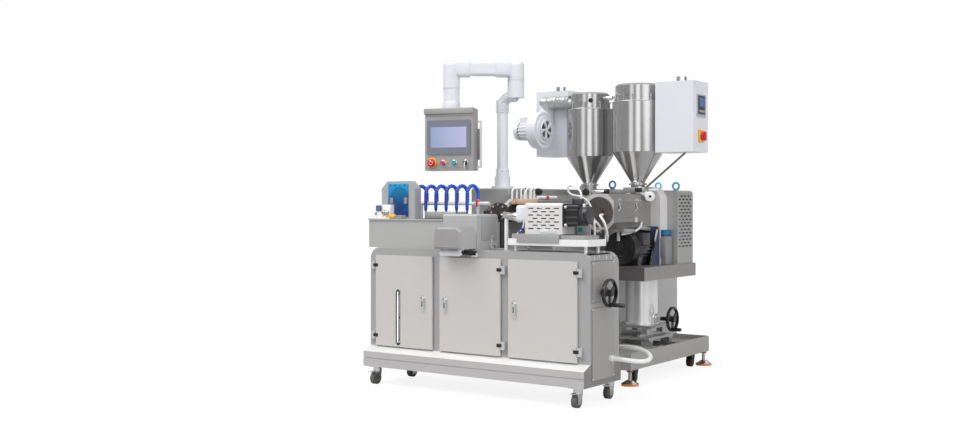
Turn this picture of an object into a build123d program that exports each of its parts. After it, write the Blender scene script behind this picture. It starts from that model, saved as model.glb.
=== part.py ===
import os
from math import cos, pi, radians, sin, tan

from build123d import *

os.makedirs("parts", exist_ok=True)

# what stands on the bench, from left to right and from front to rear
trough_overhang = 39.0
trough_long = 610.0
cover_long = 260.0
pump_gap = 230.0
table_long = 552.0
table_margin = 31.0
trough_setback = 28.0
gauge_setback = 12.0
gauge_deep = 50.0
window_thick = 8.0
cutter_deep = 62.0
hose_gap = 4.0
hose_radius = 10.0
hose_arc = 60.0
manifold_setback = 16.0
trough_rear_setback = 30.0

# bench frame and base, measured from the floor under the front left castor
castor_inset = 71.0
frame_front = 32.0
frame_tall = 635.0
frame_wall = 28.0
arch_radius = 70.0
top_sheet = 6.0
end_window_tall = 36.0
end_window_inset = 45.0
base_low = 117.0
base_tall = 128.0
base_slope = 32.0
base_overhang = 72.0
base_rear_overhang = 24.0
seam_rise = 51.0
seam_depth = 4.0
seam_width = 5.0

bench_long = trough_long - trough_overhang + cover_long + pump_gap + table_long + table_margin
gauge_front_to_cutter = gauge_setback + gauge_deep + window_thick + cutter_deep
hose_reach = hose_arc + hose_arc
cutter_to_rear = hose_gap + hose_radius + hose_reach + manifold_setback + trough_rear_setback
frame_depth = trough_setback + gauge_front_to_cutter + cutter_to_rear
bench_left = -castor_inset
bench_right = bench_left + bench_long
frame_rear = frame_front + frame_depth
frame_low = base_low + base_tall
base_shoulder = frame_low - base_slope
seam_height = base_low + seam_rise
bench_top = frame_low + frame_tall
end_window_high = bench_top - top_sheet
end_window_low = end_window_high - end_window_tall

# bench doors
left_stile = 55.0
middle_stile = 57.0
right_stile = 79.0
door_width_shares = (0.3317, 0.3281, 0.3402)
door_hands = (1, -1, -1)
door_foot_gap = 5.5
door_head_gap = 48.0
door_thick = 18.0
door_gap = 0.5
door_overlap = 15.0
door_edge_radius = 4.0

door_span = bench_long - left_stile - middle_stile - middle_stile - right_stile
door_widths = [share * door_span for share in door_width_shares]
door_lows = [bench_left + left_stile]
for width in door_widths[:-1]:
    door_lows.append(door_lows[-1] + width + middle_stile)
door_low = frame_low + door_foot_gap
door_high = bench_top - door_head_gap
door_front = frame_front - door_gap - door_thick

# door hinges
knuckle_radius = 6.0
knuckle_offset = 7.5
knuckle_half = 10.0
knuckle_split = 0.5
hinge_half = 26.0
hinge_leaf = 22.0
hinge_leaf_thick = 3.0
hinge_inset = 64.5
hinge_pin_radius = 2.5
hinge_pin_clearance = 0.05
hinge_heights = (door_low + hinge_inset, door_high - hinge_inset)

# door latches, from each door's free edge
latch_inset_shares = (0.147, 0.107, 0.101)
latch_rise = 287.5
latch_plate_tall = 108.0
latch_plate_wide = 34.0
latch_plate_thick = 4.0
latch_lever_tall = 84.0
latch_lever_wide = 20.0
latch_lever_thick = 9.0
latch_height = door_low + latch_rise

# level tube and its slot in the left door
slot_inset = 192.0
slot_rise = 13.5
slot_tall = 348.0
slot_wide = 30.0
level_tube_radius = 8.0
level_tube_setback = 14.0
level_fitting_radius = 13.0
level_fitting_tall = 22.0
level_plate_wide = 60.0
level_plate_thick = 5.0
level_plate_over = 38.0
slot_place = door_lows[0] + slot_inset
slot_low = door_low + slot_rise
slot_high = slot_low + slot_tall
level_plate_top = slot_high + level_plate_over

# end panels and the bearing of the hand wheel
panel_thick = 3.0
panel_front_inset = 20.0
panel_rear_inset = 60.0
panel_head_gap = 7.0
panel_foot_gap = 33.0
panel_split = 32.0
upper_panel_rise = 352.0
bearing_radius = 24.0
bearing_length = 24.0
panel_front = frame_front + panel_front_inset
panel_rear = frame_rear - panel_rear_inset
upper_panel_low = frame_low + upper_panel_rise
upper_panel_high = end_window_low - panel_head_gap
lower_panel_low = base_low + panel_foot_gap
lower_panel_high = upper_panel_low - panel_split

# hand wheels
wheel_setback = 135.0
wheel_rise = 404.0
wheel_radius = 84.0
wheel_rim_wide = 20.0
wheel_rim_deep = 13.0
wheel_spoke_wide = 20.0
wheel_web = 9.0
wheel_hub_radius = 19.0
wheel_hub_length = 38.0
wheel_shaft_radius = 9.0
wheel_standoff = 6.0
wheel_spokes = 3
shaft_clearance = 0.08
shaft_reach = 20.0
grip_radius = 12.0
grip_inset = 16.0
grip_long = 95.0
wheel_y = frame_front + wheel_setback
wheel_z = frame_low + wheel_rise
bench_wheel_plane = bench_right + panel_thick + bearing_length + wheel_standoff
grip_tip = bench_wheel_plane + wheel_hub_length / 2 + grip_long

# castors
castor_wheel_radius = 39.0
castor_wheel_wide = 30.0
castor_plate_half = 42.0
castor_plate_thick = 6.0
castor_cup_radius = 27.0
castor_trail = 18.0
castor_cheek_thick = 4.0
castor_cheek_half = 19.0
castor_axle_radius = 6.0
castor_gap = 2.0
castor_axle_clearance = 0.3
castor_pedal_long = 26.0
castor_pedal_thick = 5.0

# water trough
trough_tall = 187.0
trough_wall = 3.0
trough_lip = 9.0
deck_margin = 12.0
trough_left = bench_left - trough_overhang
trough_right = trough_left + trough_long
trough_front = frame_front + trough_setback
trough_rear = frame_rear - trough_rear_setback
trough_top = bench_top + trough_tall

# die head, on the line of the main extruder
main_rise = 230.0
die_setback = 36.0
die_reach_front = 40.0
die_reach_rear = 134.0
die_body_radius = 44.0
die_flange_radius = 62.0
die_flange_long = 20.0
die_cross_reach = 96.0
die_cross_radius = 34.0
die_nozzle_radius = 18.0
die_nozzle_long = 36.0
die_post_radius = 16.0
cover_right = trough_right + cover_long
main_x = cover_right
main_z = bench_top + main_rise
die_cross_y = frame_rear - die_setback
die_front = die_cross_y - die_reach_front
die_rear = die_cross_y + die_reach_rear
die_cross_left = main_x - die_cross_reach

# vacuum tank cover with the motor cover on its front
cover_die_gap = 11.0
cover_tall = 219.0
cover_edge = 14.0
motor_cover_inset = 45.0
motor_cover_margin = 6.0
motor_cover_deep = 160.0
motor_cover_rise = 7.0
motor_cover_tall = 134.0
motor_cover_chamfer = 26.0
cover_rear = die_front - cover_die_gap
cover_top = bench_top + cover_tall
motor_cover_left = trough_right + motor_cover_inset
motor_cover_right = cover_right - motor_cover_margin
motor_cover_front = trough_front - motor_cover_deep
motor_cover_low = bench_top + motor_cover_rise
motor_cover_high = motor_cover_low + motor_cover_tall

# exhaust duct under the motor cover
duct_radius = 19.0
duct_wall = 3.0
duct_setback = 60.0
duct_drop = 25.0
duct_left_inset = 21.0
duct_right_inset = 39.0
duct_y = motor_cover_front + duct_setback
duct_z = motor_cover_low - duct_drop
duct_left = motor_cover_left + duct_left_inset
duct_right = motor_cover_right - duct_right_inset

# coolant manifold, valves and hoses
manifold_inset = 202.0
manifold_long = 576.0
manifold_rise = 98.0
manifold_radius = 12.0
manifold_post_inset = 28.0
manifold_post_reach = 80.0
manifold_post_radius = 10.0
valve_radius = 9.0
valve_rise = 26.0
lever_long = 44.0
lever_wide = 9.0
lever_thick = 6.0
hose_inset = 73.0
hose_pitch = 83.0
hose_count = 6
hose_crown_rise = 53.0
hose_tip_drop = 43.0
hose_tip_radius = 6.0
hose_tip_long = 18.0
manifold_left = trough_left + manifold_inset
manifold_right = manifold_left + manifold_long
manifold_y = trough_rear - manifold_setback
manifold_z = trough_top + manifold_rise
manifold_post_xs = (manifold_left + manifold_post_inset, trough_right + manifold_post_reach)
hose_first = manifold_left + hose_inset
hose_crown_z = manifold_z + hose_crown_rise
hose_tip_z = manifold_z - hose_tip_drop

# cutter and the diameter gauge in front of it
cutter_inset = 50.0
cutter_wide = 280.0
cutter_tall = 243.0
cutter_chamfer = 48.0
window_inset = 62.0
window_wide = 162.0
window_foot_gap = 19.0
window_head_gap = 18.0
gauge_inset = 38.0
gauge_wide = 124.0
gauge_tall = 91.0
gauge_slope = 18.0
cutter_left = trough_left + cutter_inset
cutter_right = cutter_left + cutter_wide
cutter_rear = manifold_y - hose_reach - hose_radius - hose_gap
cutter_front = cutter_rear - cutter_deep
cutter_top = trough_top + cutter_tall
window_left = cutter_left + window_inset
window_right = window_left + window_wide
window_low = trough_top + window_foot_gap
window_high = cutter_top - window_head_gap
gauge_left = trough_left + gauge_inset
gauge_right = gauge_left + gauge_wide
gauge_rear = cutter_front - window_thick
gauge_front = gauge_rear - gauge_deep
gauge_top = trough_top + gauge_tall
trough_deck_end = cutter_right + deck_margin

# pump drive on the bench
table_deep = 211.0
table_rise = 36.0
table_tall = 39.0
table_sheet = 4.0
table_post_radius = 10.0
table_post_inset = 34.0
tray_inset = 20.0
tray_long = 335.0
tray_setback = 12.0
tray_deep = 174.0
tray_tall = 29.0
guard_inset = 81.0
guard_long = 259.0
guard_setback = 20.0
guard_deep = 140.0
guard_tall = 184.0
guard_sheet = 4.0
guard_corner = 18.0
guard_slot_rows = 7
guard_slot_columns = 4
guard_slot_long_share = 0.62
guard_slot_tall_share = 0.34
guard_slot_inset = 22.0
table_right = bench_right - table_margin
table_left = table_right - table_long
table_front = trough_front
table_rear = table_front + table_deep
table_low = bench_top + table_rise
table_top = table_low + table_tall
tray_left = table_left + tray_inset
tray_right = tray_left + tray_long
tray_front = table_front + tray_setback
tray_rear = tray_front + tray_deep
tray_top = table_top + tray_tall
guard_left = tray_left + guard_inset
guard_right = guard_left + guard_long
guard_front = tray_front + guard_setback
guard_rear = guard_front + guard_deep
guard_top = tray_top + guard_tall

# servo motor and coupling
pump_axis_rise = 112.0
servo_half = 62.0
servo_corner = 14.0
servo_body_long = 90.0
servo_flange_long = 14.0
servo_flange_half = 68.0
servo_end_half = 52.0
servo_end_long = 44.0
servo_plug_radius = 15.0
servo_plug_tall = 34.0
servo_plug_pitch = 45.0
coupling_flange_radius = 56.0
coupling_flange_long = 14.0
coupling_hub_radius = 46.0
coupling_hub_long = 34.0
cone_radius = 34.0
cone_long = 80.0
cone_tip_radius = 10.0
tip_shaft_long = 70.0
tip_post_radius = 12.0
tip_block_half = 17.0
pump_axis_y = (guard_front + guard_rear) / 2
pump_axis_z = tray_top + pump_axis_rise

# control cabinet, and the stands' feet
stand_clearance = 100.0
cabinet_gap = 338.0
cabinet_reach = 200.0
cabinet_wide = 315.0
cabinet_long = 940.0
cabinet_tall = 1168.0
cabinet_edge = 10.0
cabinet_low = stand_clearance
cabinet_top = cabinet_low + cabinet_tall
cabinet_right = main_x - cabinet_reach
cabinet_left = cabinet_right - cabinet_wide
cabinet_front = frame_rear + cabinet_gap
cabinet_rear = cabinet_front + cabinet_long

# pendant post, arm and box
post_inset = 201.0
post_setback = 90.0
post_radius = 37.0
post_flange_radius = 74.0
post_flange_thick = 14.0
post_socket_radius = 52.0
post_socket_tall = 80.0
post_tall = 621.0
post_bend = 70.0
hub_reach = 109.0
hub_radius = 56.0
hub_drop = 10.0
hub_rise = 105.0
swivel_gap = 1.0
spigot_radius = 30.0
spigot_tall = 34.0
spigot_clearance = 0.3
arm_long = 435.0
arm_turn = 35.0
arm_rise = 81.0
arm_half = 46.0
arm_corner = 16.0
elbow_radius = 56.0
elbow_round = 40.0
elbow_over = 57.0
elbow_drop = 132.0
pendant_turn = 14.0
pendant_neck = 139.0
pendant_neck_radius = 54.0
pendant_width = 352.0
pendant_tall = 418.0
pendant_front_depth = 45.0
pendant_back_depth = 40.0
pendant_edge = 10.0
handle_reach = 30.0
handle_bar = 12.0
handle_rise = 19.0
handle_tall = 318.0
bezel_width = 314.0
bezel_tall = 231.0
bezel_drop = 194.0
bezel_thick = 9.0
button_rise = 52.5
button_pitch = 81.4
stop_button_radius = 28.0
button_radius = 14.0
button_tall = 22.0
post_x = cabinet_left + post_inset
post_y = cabinet_front + post_setback
post_link_z = cabinet_top + post_tall
hub_x = post_x + hub_reach
hub_low = post_link_z - hub_drop
hub_split = post_link_z + hub_rise
arm_z = hub_split + arm_rise
arm_top = arm_z + elbow_over
arm_drop_low = arm_z - elbow_drop
arm_cos = cos(radians(arm_turn))
arm_sin = sin(radians(arm_turn))
pendant_x = hub_x - arm_long * arm_cos
pendant_y = post_y - arm_long * arm_sin
pendant_high = arm_drop_low - pendant_neck
pendant_low = pendant_high - pendant_tall
handle_low = pendant_low + handle_rise
handle_high = handle_low + handle_tall
bezel_centre = pendant_high - bezel_drop
button_row = pendant_low + button_rise
button_places = [(number - 3 / 2) * button_pitch for number in range(4)]
button_radii = (stop_button_radius, button_radius, button_radius, button_radius)

# main extruder
main_stand_wide = 356.0
main_stand_gap = 328.0
main_stand_long = 1850.0
main_stand_tall = 800.0
main_hood_long = 990.0
main_hood_half = 90.0
main_hood_rise = 160.0
main_hood_edge = 36.0
main_guard_half = 90.0
main_guard_tall_half = 110.0
main_guard_chamfer = 40.0
main_guard_leg_half = 46.0
main_guard_leg_long = 140.0
main_guard_leg_gap = 160.0
main_feed_half = 66.0
main_feed_long = 94.0
main_hopper_gap = 116.0
eye_shares = (0.1343, 0.495, 0.882)
eye_inset = 44.0
eye_ring = 24.0
eye_wire = 7.0
eye_collar_radius = 17.0
eye_collar_tall = 12.0
main_stand_left = cabinet_right
main_stand_right = main_stand_left + main_stand_wide
main_stand_front = frame_rear + main_stand_gap
main_stand_top = stand_clearance + main_stand_tall
main_rear = main_stand_front + main_stand_long
main_hood_front = main_rear - main_hood_long
main_hood_top = main_z + main_hood_rise
main_guard_low = main_z - main_guard_tall_half
main_guard_top = main_z + main_guard_tall_half
main_hopper_y = main_hood_front - main_hopper_gap
main_guard_rear = main_hopper_y - main_feed_long
main_guard_leg_rear = main_guard_rear - main_guard_leg_gap
main_guard_leg_front = main_guard_leg_rear - main_guard_leg_long
eye_x = main_x + main_hood_half - eye_inset
eye_ys = [main_hood_front + share * main_hood_long for share in eye_shares]

# hoppers
throat_radius = 48.0
throat_rise = 183.0
hopper_sheet = 3.0
hopper_neck = 48.0
hopper_neck_tall = 20.0
hopper_flange = 62.0
hopper_flange_thick = 10.0
main_hopper_radius = 165.0
main_cone_tall = 185.0
main_shell_tall = 330.0
main_lid_tall = 120.0
main_lid_radius = 137.0
co_hopper_radius = 174.5
co_cone_tall = 204.0
co_shell_tall = 339.0
co_lid_tall = 125.0
co_lid_radius = 154.0
lid_rim = 6.0
lid_dome = 12.0
lid_port_radius = 17.0
lid_port_long = 10.0
throat_top = main_z + throat_rise
cone_low = throat_top + hopper_neck_tall
main_cone_high = cone_low + main_cone_tall
main_rim = main_cone_high + main_shell_tall
main_lid_top = main_rim + main_lid_tall
co_cone_high = cone_low + co_cone_tall
co_rim = co_cone_high + co_shell_tall
co_lid_top = co_rim + co_lid_tall

# co-extruder pedestal
pedestal_gap = 22.0
pedestal_half = 234.0
pedestal_front_reach = 599.0
pedestal_rear_reach = 601.0
pedestal_tall = 110.0
tray_wall = 8.0
tray_recess = 34.0
tie_setback = 319.0
tie_long = 200.0
tie_margin = 22.0
rail_wide = 22.0
low_rail_tall = 31.0
high_rail_tall = 22.0
block_tall = 45.0
rail_clearance = 0.3
rail_depth = 8.0
saddle_half_x = 150.0
saddle_half_y = 185.0
saddle_thick = 18.0
low_rail_spread = 146.0
high_rail_spread = 96.0
rail_half_long = 210.0
high_rail_half_long = 230.0
block_half = 34.0
column_setback = 1068.0
column_radius = 110.0
column_wall = 8.0
column_flange = 128.0
column_flange_thick = 12.0
bush_radius = 22.0
bush_reach = 150.0
bush_bore_start = 115.0
lift_wheel_rise = 40.0
lift_wheel_standoff = 66.0
lift_wheel_radius = 85.0
lift_grip_long = 62.0
lift_shaft_radius = 14.0
ram_clearance = 1.0
ram_reach = 300.0
co_x = main_stand_right + pedestal_gap + pedestal_half
co_z = main_z
column_y = frame_rear + column_setback
pedestal_front = column_y - pedestal_front_reach
pedestal_rear = column_y + pedestal_rear_reach
pedestal_low = stand_clearance
pedestal_top = pedestal_low + pedestal_tall
tray_floor = pedestal_top - tray_recess
tie_front = pedestal_front + tie_setback
tie_rear = tie_front + tie_long
low_block_base = tray_floor + low_rail_tall - rail_depth
low_saddle_base = low_block_base + block_tall
low_saddle_top = low_saddle_base + saddle_thick
high_block_base = low_saddle_top + high_rail_tall - rail_depth
high_saddle_base = high_block_base + block_tall
high_saddle_top = high_saddle_base + saddle_thick
lift_wheel_z = high_saddle_top + lift_wheel_rise
lift_wheel_plane = co_x + bush_reach + lift_wheel_standoff

# platform and drive
platform_drop = 363.0
platform_tall = 88.0
platform_gap = 5.0
platform_front_reach = 413.0
platform_rear_reach = 374.0
platform_sheet = 12.0
motor_rise = 119.0
motor_radius = 102.0
motor_inset = 105.0
motor_gap = 26.0
motor_cowl_radius = 112.0
motor_cowl_long = 90.0
motor_foot_half = 84.0
bracket_plate_half = 118.0
bracket_plate_thick = 18.0
gusset_long = 110.0
gusset_thick = 14.0
gusset_tall = 240.0
hood_setback = 10.0
hood_deep = 110.0
hood_half = 138.0
hood_rise = 168.0
hood_arch = 96.0
guard_half = 214.0
guard_box_deep = 250.0
guard_box_rise = 146.0
guard_box_corner = 26.0
guard_box_sheet = 4.0
vent_rows = 16
vent_columns = 4
vent_foot_gap = 110.0
vent_head_gap = 28.0
vent_inset = 24.0
vent_long_share = 0.62
vent_tall_share = 0.42
hood_eye_side = 108.0
hood_eye_inset = 50.0
platform_top = co_z - platform_drop
platform_low = platform_top - platform_tall
column_top = platform_low - platform_gap
ram_low = column_top - ram_reach
platform_front = column_y - platform_front_reach
platform_rear = column_y + platform_rear_reach
hood_front = column_y + hood_setback
hood_rear = hood_front + hood_deep
hood_top = co_z + hood_rise
motor_z = platform_top + motor_rise
motor_front = platform_front + motor_inset
motor_rear = hood_front - motor_gap
bracket_plate_front = hood_front - bracket_plate_thick
guard_box_rear = hood_rear + guard_box_deep
guard_box_top = co_z + guard_box_rise
vent_low = platform_top + vent_foot_gap
vent_high = guard_box_top - vent_head_gap
hood_eye_x = co_x + hood_eye_side
hood_eye_y = guard_box_rear - hood_eye_inset

# co-extruder barrel
barrel_half = 104.0
barrel_reach = 585.0
barrel_long = 390.0
barrel_drop = 115.0
barrel_rise = 118.0
barrel_chamfer = 48.0
feed_half = 66.0
feed_drop = 102.0
feed_rise = 112.0
nose_radius = 98.0
nose_thick = 14.0
nose_boss_radius = 30.0
nose_boss_long = 20.0
nipple_radius = 9.0
nipple_long = 34.0
nipple_side = 46.0
nipple_drop = 18.0
hose_end_radius = 12.0
hose_end_tall = 20.0
co_hopper_lead = 53.0
barrel_front = column_y - barrel_reach
barrel_rear = barrel_front + barrel_long
barrel_low = co_z - barrel_drop
barrel_high = co_z + barrel_rise
feed_low = co_z - feed_drop
feed_high = co_z + feed_rise
co_hopper_y = column_y - co_hopper_lead

# dryer boxes
box_wide = 277.0
box_deep = 232.0
box_rise = 215.0
box_tall = 471.0
box_cap_radius = 34.0
box_cap_tall = 40.0
main_box_reach = 438.0
main_box_lead = 20.0
contact_gap = 0.3
co_box_lead = 87.0
panel_board_wide = 128.0
panel_board_tall = 150.0
panel_board_inset = 52.0
panel_board_drop = 88.0
panel_board_thick = 7.0
switch_radius = 34.0
switch_thick = 9.0
switch_drop = 366.0
strut_radius = 7.0
strut_reach = 178.0
strut_lag = 9.0
strut_drop = 21.0
box_low = throat_top + box_rise
box_high = box_low + box_tall
main_box_left = main_x - main_box_reach
main_box_front = main_hopper_y - main_box_lead
co_box_front = co_hopper_y - co_box_lead
box_left = co_x + co_hopper_radius + contact_gap
box_right = box_left + box_wide
strut_top_x = box_left + strut_reach
strut_y = co_hopper_y + strut_lag
strut_low_z = throat_top - strut_drop

# dryer blower
blower_inset = 115.0
blower_lead = 136.0
blower_rise = 182.0
blower_radius = 130.0
blower_wide = 76.0
blower_inlet_radius = 48.0
blower_inlet_long = 16.0
blower_motor_radius = 64.0
blower_motor_long = 150.0
blower_box_half = 36.0
blower_box_tall = 30.0
blower_spout_half = 38.0
blower_pipe_radius = 36.0
blower_pipe_rise = 52.0
blower_pad_half = 50.0
blower_x = main_box_left + blower_inset
blower_y = main_box_front - blower_lead
blower_z = box_low + blower_rise
blower_pipe_z = main_rim + blower_pipe_rise

# levelling feet
foot_pad_radius = 56.0
foot_pad_tall = 14.0
foot_cone_tall = 22.0
foot_stem_radius = 11.0
foot_nut_radius = 20.0
foot_nut_tall = 14.0
stand_foot_inset = 72.0
stand_foot_inset_y = 70.0
pedestal_foot_inset = 26.0
pedestal_foot_inset_y = 36.0
pedestal_castor_inset = 72.0
pedestal_castor_inset_y = 164.0

# free cords and their glands, with routes as they hang
cord_arc_share = 0.45
conduit_radius = 14.0
conduit_gland_radius = 20.0
conduit_gland_long = 16.0
nose_hose_radius = 8.0
cable_radius = 6.0
cable_gland_radius = 13.0
conduit_route = (
    (1594.0, 264.0, 258.0),
    (1650.0, 264.0, 258.0),
    (1704.0, 275.0, 253.0),
    (1750.0, 308.0, 247.0),
    (1772.0, 360.0, 249.0),
    (1762.0, 416.0, 264.0),
    (1720.0, 456.0, 283.0),
    (1663.0, 479.0, 295.0),
    (1600.0, 492.0, 300.0),
    (1534.0, 507.0, 298.0),
    (1470.0, 533.0, 290.0),
    (1412.0, 574.0, 274.0),
    (1364.0, 628.0, 250.0),
    (1328.0, 692.0, 220.0),
    (1307.0, 748.0, 190.0),
    (1302.0, 788.0, 176.0),
    (1302.0, 825.0, 176.0),
)
left_hose_route = (
    (1126.0, 807.0, 1092.0),
    (1126.0, 784.0, 1092.0),
    (1134.0, 760.0, 1088.0),
    (1155.0, 744.0, 1080.0),
    (1182.0, 742.0, 1066.0),
    (1204.0, 754.0, 1046.0),
    (1213.0, 776.0, 1024.0),
    (1207.0, 800.0, 1004.0),
    (1190.0, 821.0, 990.0),
    (1167.0, 838.0, 984.0),
    (1150.0, 855.0, 983.0),
    (1150.0, 875.0, 983.0),
)
right_hose_route = (
    (1218.0, 807.0, 1092.0),
    (1218.0, 784.0, 1092.0),
    (1226.0, 762.0, 1086.0),
    (1244.0, 748.0, 1074.0),
    (1263.0, 744.0, 1052.0),
    (1274.0, 749.0, 1022.0),
    (1276.0, 761.0, 990.0),
    (1270.0, 780.0, 960.0),
    (1256.0, 804.0, 936.0),
    (1238.0, 830.0, 922.0),
    (1222.0, 852.0, 921.0),
    (1212.0, 867.0, 932.0),
    (1208.0, 875.0, 950.0),
    (1208.0, 875.0, 975.0),
)
cable_route = (
    (1439.0, 162.0, 1192.0),
    (1439.0, 162.0, 1216.0),
    (1427.0, 167.0, 1240.0),
    (1400.0, 175.0, 1258.0),
    (1372.0, 184.0, 1270.0),
    (1344.0, 194.0, 1272.0),
    (1321.0, 204.0, 1259.0),
    (1317.0, 214.0, 1237.0),
    (1333.0, 222.0, 1219.0),
    (1361.0, 230.0, 1212.0),
    (1393.0, 237.0, 1206.0),
    (1424.0, 243.0, 1189.0),
    (1449.0, 247.0, 1158.0),
    (1465.0, 249.0, 1115.0),
    (1474.0, 250.0, 1066.0),
    (1478.0, 250.0, 1016.0),
    (1478.0, 250.0, 967.0),
)
conduit_foot_x = conduit_route[-1][0]
conduit_foot_z = conduit_route[-1][2]

cut_over = 20.0
turn_cos = cos(radians(pendant_turn))
turn_sin = sin(radians(pendant_turn))

# the floor's middle under the whole machine is the origin
pendant_reach = (pendant_width / 2 + handle_reach) * turn_cos + pendant_back_depth * turn_sin
reach_left = min(trough_left, pendant_x - pendant_reach)
datum_x = -(reach_left + grip_tip) / 2
datum_y = -(motor_cover_front + main_rear) / 2


def spot(x, y, z):
    return (datum_x + x, datum_y + y, z)


def flat(x, y, z):
    return Plane(origin=spot(x, y, z))


def front(x, y, z):
    return Plane(origin=spot(x, y, z), x_dir=(1, 0, 0), z_dir=(0, -1, 0))


def side(x, y, z):
    return Plane(origin=spot(x, y, z), x_dir=(0, 1, 0), z_dir=(1, 0, 0))


def block(x_low, x_high, y_low, y_high, z_low, z_high, mode=Mode.ADD):
    with BuildSketch(flat(x_low, y_low, z_low)) as plan:
        Rectangle(x_high - x_low, y_high - y_low, align=(Align.MIN, Align.MIN))
    extrude(plan.sketch, amount=z_high - z_low, mode=mode)


def rod_x(x_low, x_high, y, z, radius, mode=Mode.ADD):
    with BuildSketch(side(x_low, y, z)) as section:
        Circle(radius)
    extrude(section.sketch, amount=x_high - x_low, mode=mode)


def rod_y(x, y_low, y_high, z, radius, mode=Mode.ADD):
    with BuildSketch(front(x, y_high, z)) as section:
        Circle(radius)
    extrude(section.sketch, amount=y_high - y_low, mode=mode)


def rod_z(x, y, z_low, z_high, radius, mode=Mode.ADD):
    with BuildSketch(flat(x, y, z_low)) as section:
        Circle(radius)
    extrude(section.sketch, amount=z_high - z_low, mode=mode)


def front_profile(points, y_low, y_high, mode=Mode.ADD):
    with BuildSketch(front(0, y_high, 0)) as outline:
        with BuildLine():
            Polyline(*points, close=True)
        make_face()
    extrude(outline.sketch, amount=y_high - y_low, mode=mode)


def side_profile(points, x_low, x_high, mode=Mode.ADD):
    with BuildSketch(side(x_low, 0, 0)) as outline:
        with BuildLine():
            Polyline(*points, close=True)
        make_face()
    extrude(outline.sketch, amount=x_high - x_low, mode=mode)


def turned(x, y, points, mode=Mode.ADD):
    with BuildSketch(front(x, y, 0)) as half:
        with BuildLine():
            Polyline(*points, close=True)
        make_face()
    revolve(half.sketch, axis=Axis(spot(x, y, 0), (0, 0, 1)), mode=mode)


def keep(made, label):
    made.part.label = label
    export_step(made.part, "parts/" + label + ".step")


def hinge_axis(number):
    hand = door_hands[number]
    edge = door_lows[number] if hand > 0 else door_lows[number] + door_widths[number]
    return edge - hand * knuckle_offset


def span(first, second):
    return min(first, second), max(first, second)


# bench frame: an arched shell with three door openings and end windows
with BuildPart() as bench_frame:
    with BuildSketch(front(0, frame_rear, 0)) as arch:
        with BuildLine():
            FilletPolyline(
                (bench_left, frame_low),
                (bench_left, bench_top),
                (bench_right, bench_top),
                (bench_right, frame_low),
                radius=arch_radius,
            )
            Line((bench_right, frame_low), (bench_left, frame_low))
        make_face()
    extrude(arch.sketch, amount=frame_depth)
    block(
        bench_left + frame_wall,
        bench_right - frame_wall,
        frame_front + frame_wall,
        frame_rear - frame_wall,
        frame_low + frame_wall,
        bench_top - frame_wall,
        Mode.SUBTRACT,
    )
    block(
        bench_left + arch_radius,
        bench_right - arch_radius,
        frame_front + end_window_inset,
        frame_rear - end_window_inset,
        bench_top - frame_wall - cut_over,
        end_window_high,
        Mode.SUBTRACT,
    )
    for low, width in zip(door_lows, door_widths):
        block(
            low + door_overlap,
            low + width - door_overlap,
            frame_front - cut_over,
            frame_front + frame_wall + cut_over,
            door_low + door_overlap,
            door_high - door_overlap,
            Mode.SUBTRACT,
        )
    for end in (bench_left, bench_right):
        block(
            end - arch_radius - cut_over,
            end + arch_radius + cut_over,
            frame_front + end_window_inset,
            frame_rear - end_window_inset,
            end_window_low,
            end_window_high,
            Mode.SUBTRACT,
        )
    for number in range(len(door_lows)):
        hand = door_hands[number]
        axis_x = hinge_axis(number)
        outer, inner = span(axis_x - hand * (knuckle_offset + hinge_leaf), axis_x - hand * knuckle_offset)
        for height in hinge_heights:
            block(
                outer, inner, door_front - hinge_leaf_thick, frame_front, height - hinge_half, height + hinge_half
            )
            for end in (1, -1):
                low, high = span(
                    height + end * (knuckle_half + knuckle_split),
                    height + end * hinge_half,
                )
                left, right = span(axis_x - hand * (knuckle_offset + hinge_leaf), axis_x)
                block(left, right, door_front - hinge_leaf_thick, door_front, low, high)
                rod_z(axis_x, door_front, low, high, knuckle_radius)
            rod_z(axis_x, door_front, height - hinge_half, height + hinge_half, hinge_pin_radius)
keep(bench_frame, "bench_frame")

# bench base: a skirt with a sloped shoulder and one long seam
with BuildPart() as bench_base:
    base_front = frame_front - base_overhang
    base_rear = frame_rear + base_rear_overhang
    side_profile(
        (
            (base_front, base_low),
            (base_rear, base_low),
            (base_rear, base_shoulder),
            (frame_rear, frame_low),
            (frame_front, frame_low),
            (base_front, base_shoulder),
        ),
        bench_left,
        bench_right,
    )
    block(
        bench_left - cut_over,
        bench_right + cut_over,
        base_front - cut_over,
        base_front + seam_depth,
        seam_height,
        seam_height + seam_width,
        Mode.SUBTRACT,
    )
keep(bench_base, "bench_base")


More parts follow.
